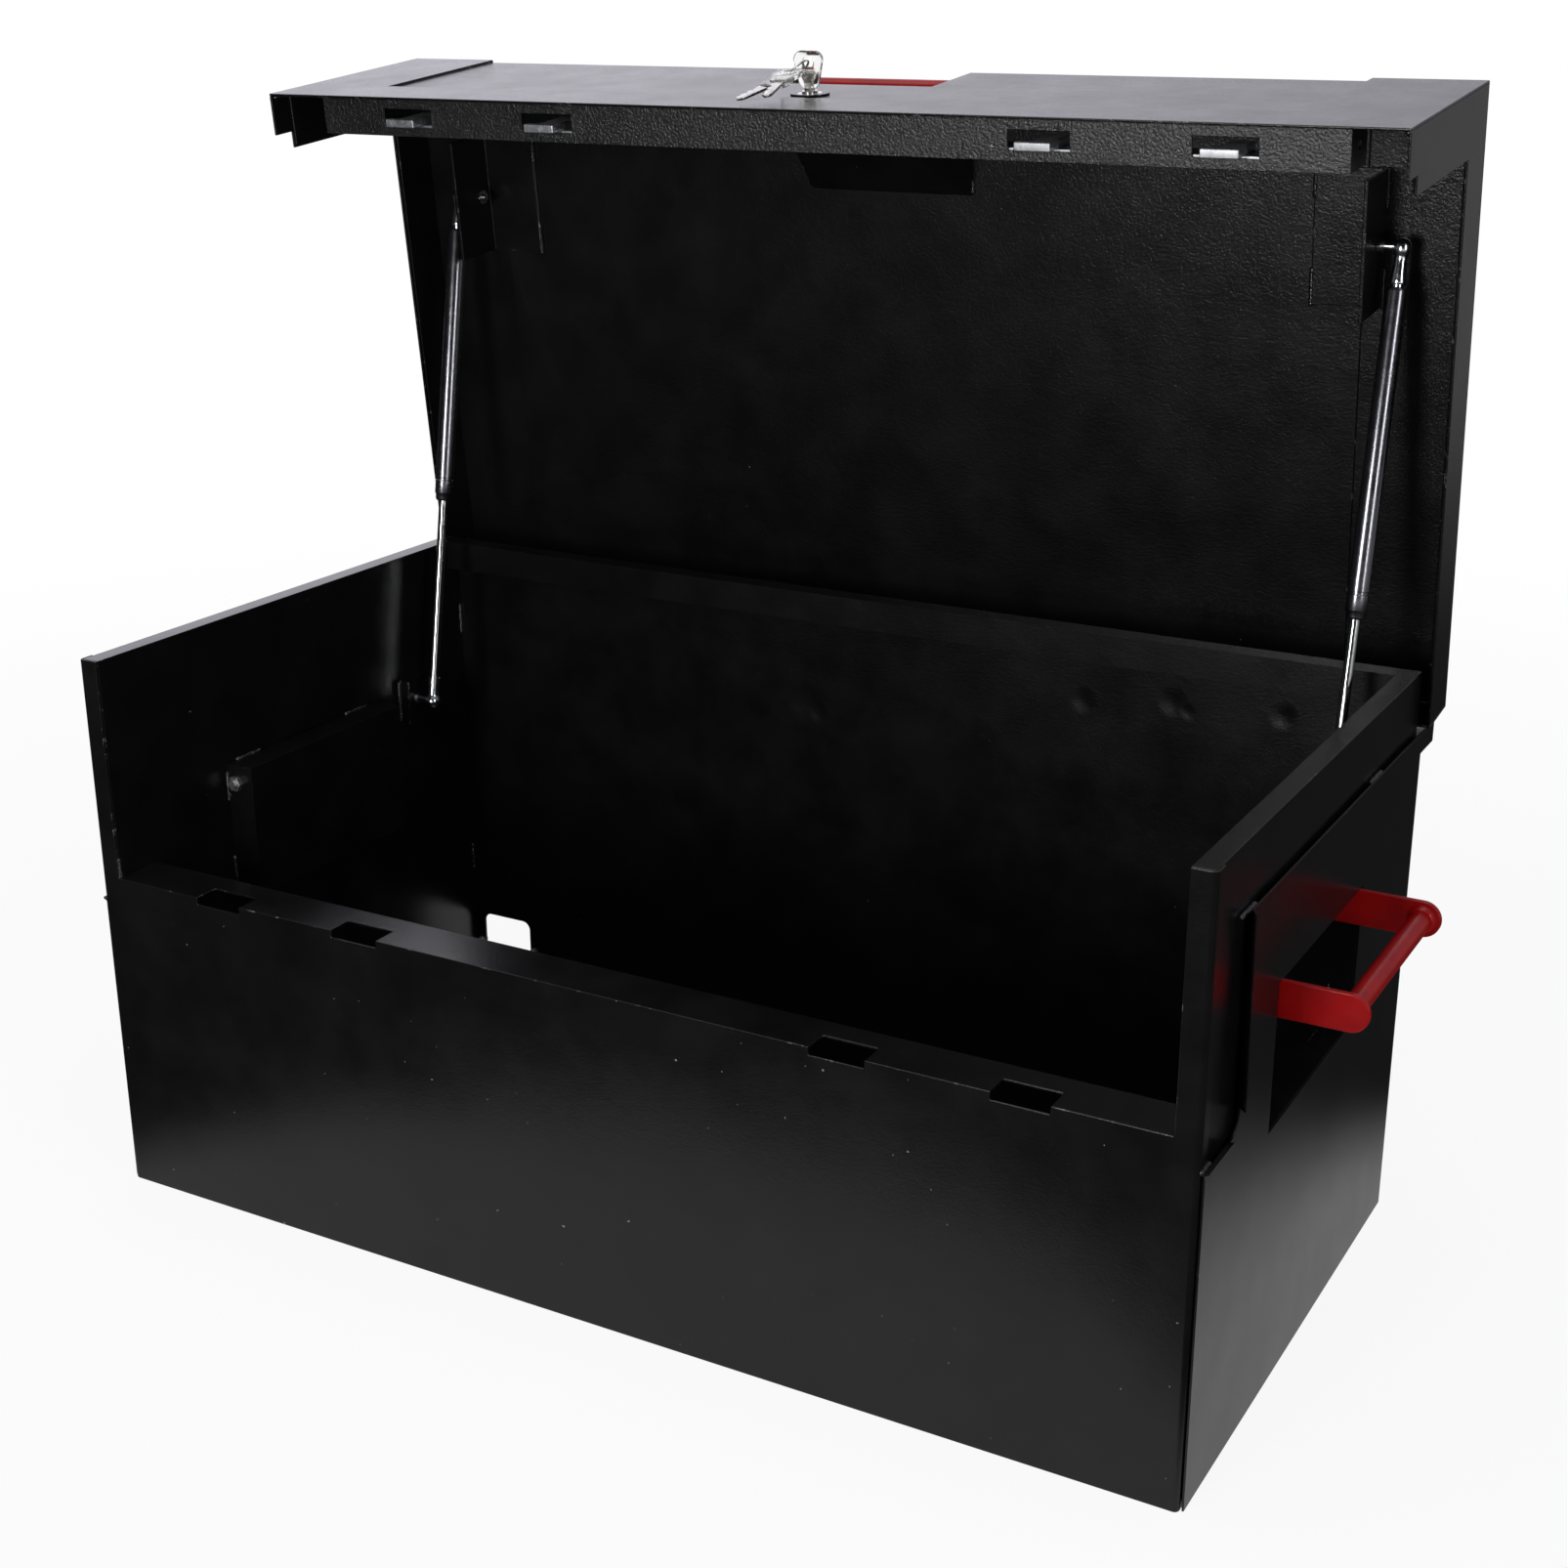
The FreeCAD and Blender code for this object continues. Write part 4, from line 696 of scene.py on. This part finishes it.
class TRUNK_OT_handles(bpy.types.Operator):
    """Give the drop handles and the pull bar rounded edges, welds and the red coat."""
    bl_idname = "trunk.handles"
    bl_label = "Coat the handles"

    def execute(self, context):
        sizes = context.scene.trunk_sheets
        for word in SIDES:
            arms = f"handle_arms_{word}"
            piece = self.coat(arms + "_red", clean_copy(arms), f"handle_{word}", (arms,))
            round_over(piece, sizes.hardware_round, 3, finish_of("worn_red"))
            bar = f"handle_bar_{word}"
            self.coat(bar + "_red", smooth_by_angle(clean_copy(bar)), f"handle_{word}", (bar,))
            self.coat(f"handle_welds_{word}", self.end_welds(bar), f"handle_{word}")
        self.coat("pull_bar_red", smooth_by_angle(clean_copy("pull_bar_rod")), "lid", ("pull_bar_rod",))
        return {"FINISHED"}

    def coat(self, name, mesh, body, nodes=()):
        """One red piece."""
        return new_piece(name, mesh, body, finish_of("red_paint"), nodes)

    def end_welds(self, bar):
        """A weld collar round each end of a handle bar."""
        low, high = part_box(bar)
        radius = (high.z - low.z) / 2
        profile = [(0, radius - 0.0002), (0, radius + 0.0026), (0.0007, radius + 0.0024),
                   (0.0020, radius + 0.0010), (0.0032, radius + 0.0002), (0.0034, radius - 0.0002)]
        build = bmesh.new()
        for end, way in ((low.y, 1), (high.y, -1)):
            middle = Vector(((low.x + high.x) / 2, end, (low.z + high.z) / 2))
            lathe(build, profile, COLLAR_FACETS, move(middle) @ turn(-way * math.pi / 2, "X"))
        return smooth_by_angle(mesh_from(outward(build), "handle_welds"))


class TRUNK_OT_hardware(bpy.types.Operator):
    """Give the hooks, lock bar, lock, nuts and bolts their platings."""
    bl_idname = "trunk.hardware"
    bl_label = "Plate the hardware"

    def execute(self, context):
        sizes = context.scene.trunk_sheets
        rounded = {
            "lock_hooks": ("lock_bar", "zinc_plate"), "lock_slide_bar": ("lock_bar", "zinc_plate"),
            "lock_drive_strap": ("lock_bar", "zinc_plate"),
            "cable_hole_bolts": ("trunk", "fastener_steel"), "lock_cam": ("key", "key_steel"),
        }
        for word in SIDES:
            rounded[f"handle_nuts_{word}"] = ("trunk", "fastener_steel")
            rounded[f"strut_head_nut_{word}"] = ("lid", "socket_zinc")
            rounded[f"handle_pivot_{word}"] = ("trunk", "fastener_steel")
        for node, (body, slot) in rounded.items():
            share = 1.0 if node == "lock_hooks" else 0.4
            piece = new_piece(node + "_plated", clean_copy(node), body, finish_of(slot), (node,))
            round_over(piece, sizes.hardware_round * share, 2)
        turned = {"lock_escutcheon": ("lid", "lock_black"), "lock_housing": ("lid", "key_steel"),
                  "lock_plug": ("key", "key_steel")}
        for node, (body, slot) in turned.items():
            piece = new_piece(node + "_turned", clean_copy(node), body, finish_of(slot), (node,))
            round_over(piece, 0.0004, 2)
        return {"FINISHED"}


class TRUNK_OT_struts(bpy.types.Operator):
    """Turn the gas struts' rods, cylinders, ball sockets and studs."""
    bl_idname = "trunk.struts"
    bl_label = "Turn the gas struts"

    def execute(self, context):
        sizes = context.scene.trunk_struts
        for word, side in SIDES.items():
            self.turn_strut(word, side, sizes)
        return {"FINISHED"}

    def turn_strut(self, word, side, sizes):
        """One strut."""
        rod = sizes.rod_radius
        wide = sizes.cylinder_radius
        top = STRUT_LONG - HEAD_SOCKET_LONG
        low = top - CYLINDER_LONG
        foot_profile = [
            (-0.0065, 0), (-0.0063, 0.0016), (-0.0054, 0.0036), (-0.0038, 0.0053), (-0.0015, 0.0063),
            (0.0010, 0.0064), (0.0032, 0.0056), (0.0052, 0.0047), (0.0068, 0.0045), (0.0160, 0.0045),
            (0.0163, 0.0052), (0.0215, 0.0052), (FOOT_SOCKET_TOP, 0.0048), (FOOT_SOCKET_TOP, 0)]
        head_profile = [(STRUT_LONG - height, radius) for height, radius in (
            (HEAD_SOCKET_LONG, 0), (HEAD_SOCKET_LONG, 0.0044), (0.0262, 0.0045), (0.0260, 0.0058),
            (0.0252, 0.0062), (0.0230, 0.0060), (0.0150, 0.0051), (0.0092, 0.0046), (0.0066, 0.0047),
            (0.0056, 0.0052), (0.0040, 0.0058), (0.0015, 0.0064), (-0.0012, 0.0063), (-0.0036, 0.0054),
            (-0.0053, 0.0036), (-0.0063, 0.0015), (-0.0065, 0))]
        cylinder_profile = [
            (low, rod + 0.0001), (low, 0.0058), (low + 0.0006, 0.0066), (low + 0.0020, 0.0071),
            (low + 0.0055, 0.0072), (low + 0.0062, wide - 0.0003), (low + 0.0070, wide), (low + 0.0180, wide),
            (low + 0.0186, wide - 0.0005), (low + 0.0202, wide - 0.0005), (low + 0.0208, wide),
            (top - 0.0030, wide), (top - 0.0012, wide - 0.0005), (top - 0.0002, wide - 0.0018),
            (top, wide - 0.0034), (top, 0)]
        rod_top = low + ROD_INSIDE
        rod_profile = [(FOOT_SOCKET_TOP, 0), (FOOT_SOCKET_TOP, rod), (rod_top, rod), (rod_top, 0)]
        shapes = {
            "foot_socket": (foot_profile, f"strut_rod_{word}", "socket_zinc", f"strut_foot_socket_{word}"),
            "rod": (rod_profile, f"strut_rod_{word}", "strut_chrome", f"strut_rod_{word}"),
            # The cylinder gets grey metal as painted sheen for the stripes of reflected light on its black
            # enamel
            "cylinder": (cylinder_profile, f"strut_cylinder_{word}", "strut_black", f"strut_cylinder_{word}"),
            "head_socket": (head_profile, f"strut_cylinder_{word}", "socket_zinc", f"strut_head_socket_{word}"),
        }
        for part, (profile, body, slot, node) in shapes.items():
            build = bmesh.new()
            lathe(build, profile, sizes.facets, strut_matrix(side))
            if part == "cylinder":
                bmesh.ops.holes_fill(build, edges=[edge for edge in build.edges if edge.is_boundary])
            outward(build)
            new_piece(f"strut_{part}_{word}_turned", smooth_by_angle(mesh_from(build, part)), body,
                      finish_of(slot), (node,))
        for end, body in (("foot", "trunk"), ("head", f"strut_cylinder_{word}")):
            node = f"strut_{end}_stud_{word}"
            new_piece(node + "_turned", smooth_by_angle(clean_copy(node)), body,
                      finish_of("socket_zinc"), (node,))


class TRUNK_OT_keys(bpy.types.Operator):
    """Mould the clear bows, cut the blades and wind the split ring."""
    bl_idname = "trunk.keys"
    bl_label = "Make the keys"

    def execute(self, context):
        sizes = context.scene.trunk_keys
        standing = LID_OPEN @ move(EYE_SHUT) @ turn(math.pi / 2, "X")
        self.make_keys(sizes, "standing_key", [standing], "key", ("key_bow",), ("key_blade",))
        across = Vector((-1, 1, 0)).normalized()
        down = Vector((0, 0, -1))
        spares = []
        for way, swing in zip((-1, 1), SPARE_SWINGS):
            angle = way * RING_STEP
            spot = RING_SHUT + RING_RADIUS * (across * math.sin(angle) + down * math.cos(angle))
            spares.append(LID_OPEN @ move(spot) @ turn(SPARE_LEAN, "X") @ turn(swing, "Y"))
        self.make_keys(sizes, "spare_keys", spares, "spare_keys", ("spare_key_bows",), ("spare_key_blades",))
        self.wind_ring(sizes, across, down)
        return {"FINISHED"}

    def make_keys(self, sizes, name, places, body, bow_nodes, blade_nodes):
        """Clear bows with their metal cores, and the blades."""
        foot = BOW_TOP - sizes.bow_tall
        bow = rounded_rectangle(sizes.bow_wide, foot, BOW_TOP, 0.0065, 6, sizes.bow_wide * 0.74)
        eye = list(reversed(rounded_rectangle(0.0088, -0.0036, 0.0036, 0.0026, 4, 0.0088)))
        core = rounded_rectangle(0.0135, foot + 0.0015, -0.0055, 0.003, 4, 0.0085)
        blade = self.blade_outline(sizes, foot)
        bows, metals = bmesh.new(), bmesh.new()
        for place in places:
            for store, outlines, half, edge in ((bows, (bow, eye), sizes.bow_thick / 2, 0.0006),
                                                (metals, (core,), 0.0009, 0.0002),
                                                (metals, (blade,), 0.0010, 0.0002)):
                mesh = mesh_from(extrude_outlines(outlines, half, edge, place), "key_part")
                store.from_mesh(mesh)
                bpy.data.meshes.remove(mesh)
        for store, ending, slot, nodes in ((bows, "_bows_clear", "clear_plastic", bow_nodes),
                                           (metals, "_blades_cut", "key_steel", blade_nodes)):
            mesh = smooth_by_angle(mesh_from(store, name))
            new_piece(name + ending, mesh, body, finish_of(slot), nodes)

    def blade_outline(self, sizes, foot):
        """A blade with a stop, its cuts and a pointed tip."""
        half = sizes.blade_wide / 2
        tip = foot - sizes.blade_long
        left = [(-half, foot + 0.004), (-half, foot - 0.003)]
        step = (sizes.blade_long - 0.008) / len(BLADE_CUTS)
        for number, depth in enumerate(BLADE_CUTS):
            start = foot - 0.0045 - number * step
            left += [(-half + 0.0002, start), (-half + depth, start - step * 0.35),
                     (-half + depth, start - step * 0.6)]
        point = [(-half + 0.0012, tip + 0.0024), (0, tip), (half - 0.0012, tip + 0.0018)]
        right = [(half, tip + 0.004), (half, foot + 0.004)]
        return left + point + right

    def wind_ring(self, sizes, across, down):
        """A split ring of nearly two turns."""
        axis = across.cross(down).normalized()
        curve = bpy.data.curves.new("ring_wire", "CURVE")
        curve.dimensions = "3D"
        curve.bevel_depth = sizes.wire_radius
        curve.bevel_resolution = 3
        curve.use_fill_caps = True
        spline = curve.splines.new("POLY")
        spline.points.add(RING_POINTS - 1)
        for k, point in enumerate(spline.points):
            share = k / (RING_POINTS - 1)
            angle = 2 * math.pi * RING_TURNS * share + RING_START
            shift = (share - 0.5) * 2 * sizes.wire_radius * 0.8
            spot = RING_SHUT + RING_RADIUS * (across * math.cos(angle) + down * math.sin(angle)) + axis * shift
            point.co = (*open_lid(spot), 1)
        mesh = plain_mesh(new_holder("ring_wire", curve))
        new_piece("split_ring_wound", smooth_by_angle(mesh, 60), "spare_keys", finish_of("key_steel"),
                  ("key_ring",))


def bead_tree(finish):
    """Nodes that lay uneven weld ripples along edges."""
    tree = bpy.data.node_groups.new("Weld bead", "GeometryNodeTree")
    tree.interface.new_socket("Seams", in_out="INPUT", socket_type="NodeSocketGeometry")
    sockets = {}
    for word, kind in (("Width", "NodeSocketFloat"), ("Pitch", "NodeSocketFloat"), ("Seed", "NodeSocketInt")):
        sockets[word] = tree.interface.new_socket(word, in_out="INPUT", socket_type=kind).identifier
    tree.interface.new_socket("Beads", in_out="OUTPUT", socket_type="NodeSocketGeometry")
    start = add(tree, "NodeGroupInput")
    line = add(tree, "GeometryNodeMeshToCurve", {"Mesh": start.outputs["Seams"]})
    spaced = add(tree, "GeometryNodeResampleCurve",
                 {"Curve": line.outputs["Curve"], "Length": start.outputs["Pitch"]}, mode="LENGTH")
    half = maths(tree, "MULTIPLY", start.outputs["Width"], 0.5)
    ball = add(tree, "GeometryNodeMeshIcoSphere", {"Subdivisions": 2, "Radius": half})
    sizes = add(tree, "FunctionNodeRandomValue", {"Seed": start.outputs["Seed"]}, data_type="FLOAT_VECTOR")
    sizes.inputs["Min"].default_value = (0.75, 0.75, 0.6)
    sizes.inputs["Max"].default_value = (1.15, 1.15, 1.0)
    laid = add(tree, "GeometryNodeInstanceOnPoints",
               {"Points": spaced.outputs["Curve"], "Instance": ball.outputs["Mesh"],
                "Scale": sizes.outputs["Value"]})
    real = add(tree, "GeometryNodeRealizeInstances", {"Geometry": laid.outputs["Instances"]})
    smooth = add(tree, "GeometryNodeSetShadeSmooth", {"Geometry": real.outputs["Geometry"]})
    coated = add(tree, "GeometryNodeSetMaterial",
                 {"Geometry": smooth.outputs["Geometry"], "Material": finish})
    end = add(tree, "NodeGroupOutput")
    tree.links.new(coated.outputs["Geometry"], end.inputs["Beads"])
    return tree, sockets


class TRUNK_OT_welds(bpy.types.Operator):
    """Lay the weld beads that join the sheets, boxes and brackets."""
    bl_idname = "trunk.welds"
    bl_label = "Lay the welds"

    def execute(self, context):
        sizes = context.scene.trunk_welds
        self.lay("trunk_welds", "trunk", "body_paint", self.trunk_seams(), sizes)
        for name, seams, share in (("lid_welds", self.lid_seams(), 1.0),
                                   ("lid_thin_welds", self.bracket_seams(), 0.5)):
            opened = [[open_lid(point) for point in seam] for seam in seams]
            self.lay(name, "lid", "lid_paint", opened, sizes, share)
        return {"FINISHED"}

    def trunk_seams(self):
        """Short welds on the trunk."""
        seams = []
        for side in SIDES.values():
            wall = side * INNER_WALL
            for front in (-0.0985, 0.0955):
                seams += [[(wall, front, high), (wall, front, high + 0.022)] for high in (0.222, 0.296)]
            for high in (0.214, 0.327):
                seams += [[(wall, deep, high), (wall, deep + 0.026, high)] for deep in (-0.085, 0.055)]
            seams += [[(wall, deep, 0.300), (wall, deep, 0.334)] for deep in (0.130, 0.164)]
            post = side * POST_FOOT
            seams.append([(post, -REAR_WALL, 0.2715), (post, -REAR_WALL, 0.285)])
            for deep, high in ((REAR_WALL, 0.12), (REAR_WALL, 0.36), (-REAR_WALL, 0.05)):
                seams.append([(wall, deep, high), (wall, deep, high + 0.025)])
            skin = side * OUTER_SKIN
            seams.append([(skin, -0.2125, 0.2485), (skin, -0.2255, 0.2485)])
            seams += [[(skin, deep, 0.402), (skin, deep + 0.025, 0.402)] for deep in (-0.180, 0.10)]
        return seams

    def lid_seams(self):
        """Short welds on the lid, where they are with the lid shut."""
        seams = []
        for side in SIDES.values():
            inner, edge = side * BRACKET_INNER, side * DOUBLER_EDGE
            pocket, fold = side * POCKET_SIDE, side * LID_SIDE_FOLD
            seams += [[(inner, -0.1725, 0.4475), (inner, -0.150, 0.4475)],
                      [(inner, -0.098, 0.4475), (inner, -0.0725, 0.4475)],
                      [(edge, -0.172, 0.4500), (edge, -0.145, 0.4500)],
                      [(edge, -0.100, 0.4500), (edge, -0.073, 0.4500)],
                      [(side * 0.330, -0.2018, 0.3075), (side * 0.300, -0.2018, 0.3075)],
                      [(side * 0.130, -0.2018, 0.3075), (side * 0.105, -0.2018, 0.3075)],
                      [(pocket, -0.150, 0.4485), (pocket, -0.142, 0.4485)],
                      [(fold, -0.2300, 0.262), (fold, -0.2300, 0.276)]]
        return seams

    def bracket_seams(self):
        """Long thin welds along the strut brackets, where they are with the lid shut."""
        return [[(side * across, -0.1725, 0.4480), (side * across, -0.0725, 0.4480)]
                for side in SIDES.values() for across in (BRACKET_INNER, BRACKET_OUTER)]

    def lay(self, name, body, slot, seams, sizes, share=1.0):
        """Beads along every seam of one body, as one plain mesh."""
        build = bmesh.new()
        for seam in seams:
            build.edges.new([build.verts.new(point) for point in seam])
        holder = new_holder(name + "_seams", mesh_from(build, name + "_seams"))
        tree, sockets = bead_tree(finish_of("weld_paint"))
        beads = holder.modifiers.new("Beads", "NODES")
        beads.node_group = tree
        beads[sockets["Width"]] = sizes.bead_width * share
        beads[sockets["Pitch"]] = sizes.bead_pitch
        beads[sockets["Seed"]] = sizes.seed
        new_piece(name, plain_mesh(holder), body, finish_of("weld_paint"))


class TRUNK_OT_stage(bpy.types.Operator):
    """Set the pale floor, the soft lamps, the surround and the camera."""
    bl_idname = "trunk.stage"
    bl_label = "Set the stage"

    def execute(self, context):
        sizes = context.scene.trunk_stage
        self.lay_floor(context, sizes)
        self.light_surround(context, sizes)
        for word, (spot, aim, size) in LAMPS.items():
            self.hang_lamp(word + "_lamp", spot, aim, size, getattr(sizes, word + "_power"))
        self.set_camera(context, sizes)
        context.scene.view_settings.view_transform = "Standard"
        return {"FINISHED"}

    def seen_share(self, tree, path):
        """One for rays that show the background straight, or through clear plastic."""
        rays = {0: path.outputs["Is Camera Ray"], 1: path.outputs["Is Transmission Ray"]}
        return add(tree, "ShaderNodeMath", rays, operation="ADD", use_clamp=True).outputs["Value"]

    def lay_floor(self, context, sizes):
        """A wide round floor that keeps the trunk's shadow, and is brightest round the trunk."""
        build = bmesh.new()
        bmesh.ops.create_circle(build, cap_ends=True, segments=FLOOR_SIDES, radius=sizes.floor_radius)
        floor = bpy.data.objects.new("floor", mesh_from(build, "floor"))
        context.scene.collection.objects.link(floor)
        finish = bpy.data.materials.new("pale_floor")
        finish.use_nodes = True
        tree = finish.node_tree
        tree.nodes.clear()
        path = add(tree, "ShaderNodeLightPath")
        place = add(tree, "ShaderNodeTexCoord").outputs["Object"]
        reach = reach_from(tree, place, (*sizes.pool_middle, 0))
        pool = remap(tree, reach, sizes.pool_inner, sizes.pool_outer, sizes.pool_level, sizes.front_level,
                     "SMOOTHSTEP")
        way = add(tree, "ShaderNodeSeparateXYZ", {0: place})
        sweep = remap(tree, way.outputs["Y"], -0.5, 0.5, sizes.sweep_front, sizes.sweep_back)
        distant = maths(tree, "MULTIPLY", remap(tree, reach, 2.0, 4.5, 0.0, 1.0),
                        remap(tree, way.outputs["X"], -2.0, -0.6, 0.0, 1.0))
        mirrored_level = maths(tree, "ADD", pool, maths(tree, "MULTIPLY", distant, sweep))
        lift = remap(tree, reach, 1.0, 2.4, sizes.floor_lift, 1.0)
        shown = self.seen_share(tree, path)
        seen = maths(tree, "MULTIPLY", shown, lift)
        mirrored = maths(tree, "MULTIPLY", path.outputs["Is Glossy Ray"], STUDIO_SHARE)
        paint = add(tree, "ShaderNodeBsdfDiffuse", {"Color": sizes.floor_colour})
        level = blend_level(tree, shown, mirrored_level, 1.0)
        glow = add(tree, "ShaderNodeEmission", {"Color": WHITE, "Strength": level})
        mixed = add(tree, "ShaderNodeMixShader", {0: maths(tree, "MAXIMUM", seen, mirrored),
                                                  1: paint.outputs["BSDF"], 2: glow.outputs["Emission"]})
        output = add(tree, "ShaderNodeOutputMaterial")
        tree.links.new(mixed.outputs["Shader"], output.inputs["Surface"])
        floor.data.materials.append(finish)

    def light_surround(self, context, sizes):
        """Even light from all round, white where the background shows, with a wall behind for the gloss."""
        world = bpy.data.worlds.new("surround")
        world.use_nodes = True
        tree = world.node_tree
        tree.nodes.clear()
        path = add(tree, "ShaderNodeLightPath")
        way = add(tree, "ShaderNodeSeparateXYZ", {0: add(tree, "ShaderNodeTexCoord").outputs["Generated"]})
        wall = remap(tree, way.outputs["Y"], 0.15, 0.65, sizes.front_level, sizes.back_level)
        kept = remap(tree, way.outputs["X"], -0.6, 0.15, 1.0, sizes.right_share)
        above = remap(tree, way.outputs["Z"], 0.5, 0.95, 0.0, sizes.above_level)
        gloss = maths(tree, "MAXIMUM", maths(tree, "MULTIPLY", wall, kept), above)
        shown = self.seen_share(tree, path)
        level = blend_level(tree, path.outputs["Is Glossy Ray"], sizes.sky_level, gloss)
        level = blend_level(tree, shown, level, 1.0)
        tint = blend_colour(tree, shown, sizes.sky_colour, WHITE)
        sky = add(tree, "ShaderNodeBackground", {"Color": tint, "Strength": level})
        output = add(tree, "ShaderNodeOutputWorld")
        tree.links.new(sky.outputs["Background"], output.inputs["Surface"])
        context.scene.world = world

    def hang_lamp(self, name, spot, aim, size, power):
        """A soft rectangular lamp turned to a point."""
        data = bpy.data.lights.new(name, "AREA")
        data.shape = "RECTANGLE"
        data.size, data.size_y = size
        data.energy = power
        lamp = bpy.data.objects.new(name, data)
        lamp.location = spot
        lamp.rotation_euler = (Vector(spot) - Vector(aim)).to_track_quat("Z", "Y").to_euler()
        bpy.context.scene.collection.objects.link(lamp)

    def set_camera(self, context, sizes):
        """The photograph's viewpoint."""
        data = bpy.data.cameras.new("camera")
        data.lens = sizes.lens
        data.sensor_width = SENSOR_WIDTH
        camera = bpy.data.objects.new("camera", data)
        aim = turn(CAMERA_TURN, "Z") @ turn(CAMERA_TILT, "X") @ turn(CAMERA_ROLL, "Y")
        camera.matrix_world = move(CAMERA_PLACE) @ aim
        context.scene.collection.objects.link(camera)
        context.scene.camera = camera


class TRUNK_PT_panel(bpy.types.Panel):
    """Sizes, colours and steps of the trunk."""
    bl_label = "Steel tool trunk"
    bl_idname = "TRUNK_PT_panel"
    bl_space_type = "VIEW_3D"
    bl_region_type = "UI"
    bl_category = "Trunk"

    def draw(self, context):
        for word, group in GROUPS.items():
            box = self.layout.box()
            box.label(text=group.__doc__.rstrip("."))
            for name in group.__annotations__:
                box.prop(getattr(context.scene, word), name)
        for step in STEPS:
            self.layout.operator(step.bl_idname)


STEPS = (TRUNK_OT_sheets, TRUNK_OT_handles, TRUNK_OT_hardware, TRUNK_OT_struts, TRUNK_OT_keys, TRUNK_OT_welds,
         TRUNK_OT_stage)


def register():
    for word, group in GROUPS.items():
        bpy.utils.register_class(group)
        setattr(bpy.types.Scene, word, bpy.props.PointerProperty(type=group))
    for item in (*STEPS, TRUNK_PT_panel):
        bpy.utils.register_class(item)


def unregister():
    for item in reversed((*STEPS, TRUNK_PT_panel)):
        bpy.utils.unregister_class(item)
    for word, group in reversed(GROUPS.items()):
        delattr(bpy.types.Scene, word)
        bpy.utils.unregister_class(group)


def main():
    """Make every piece in order."""
    register()
    for step in STEPS:
        space, name = step.bl_idname.split(".")
        getattr(getattr(bpy.ops, space), name)()


if __name__ == "__main__":
    main()
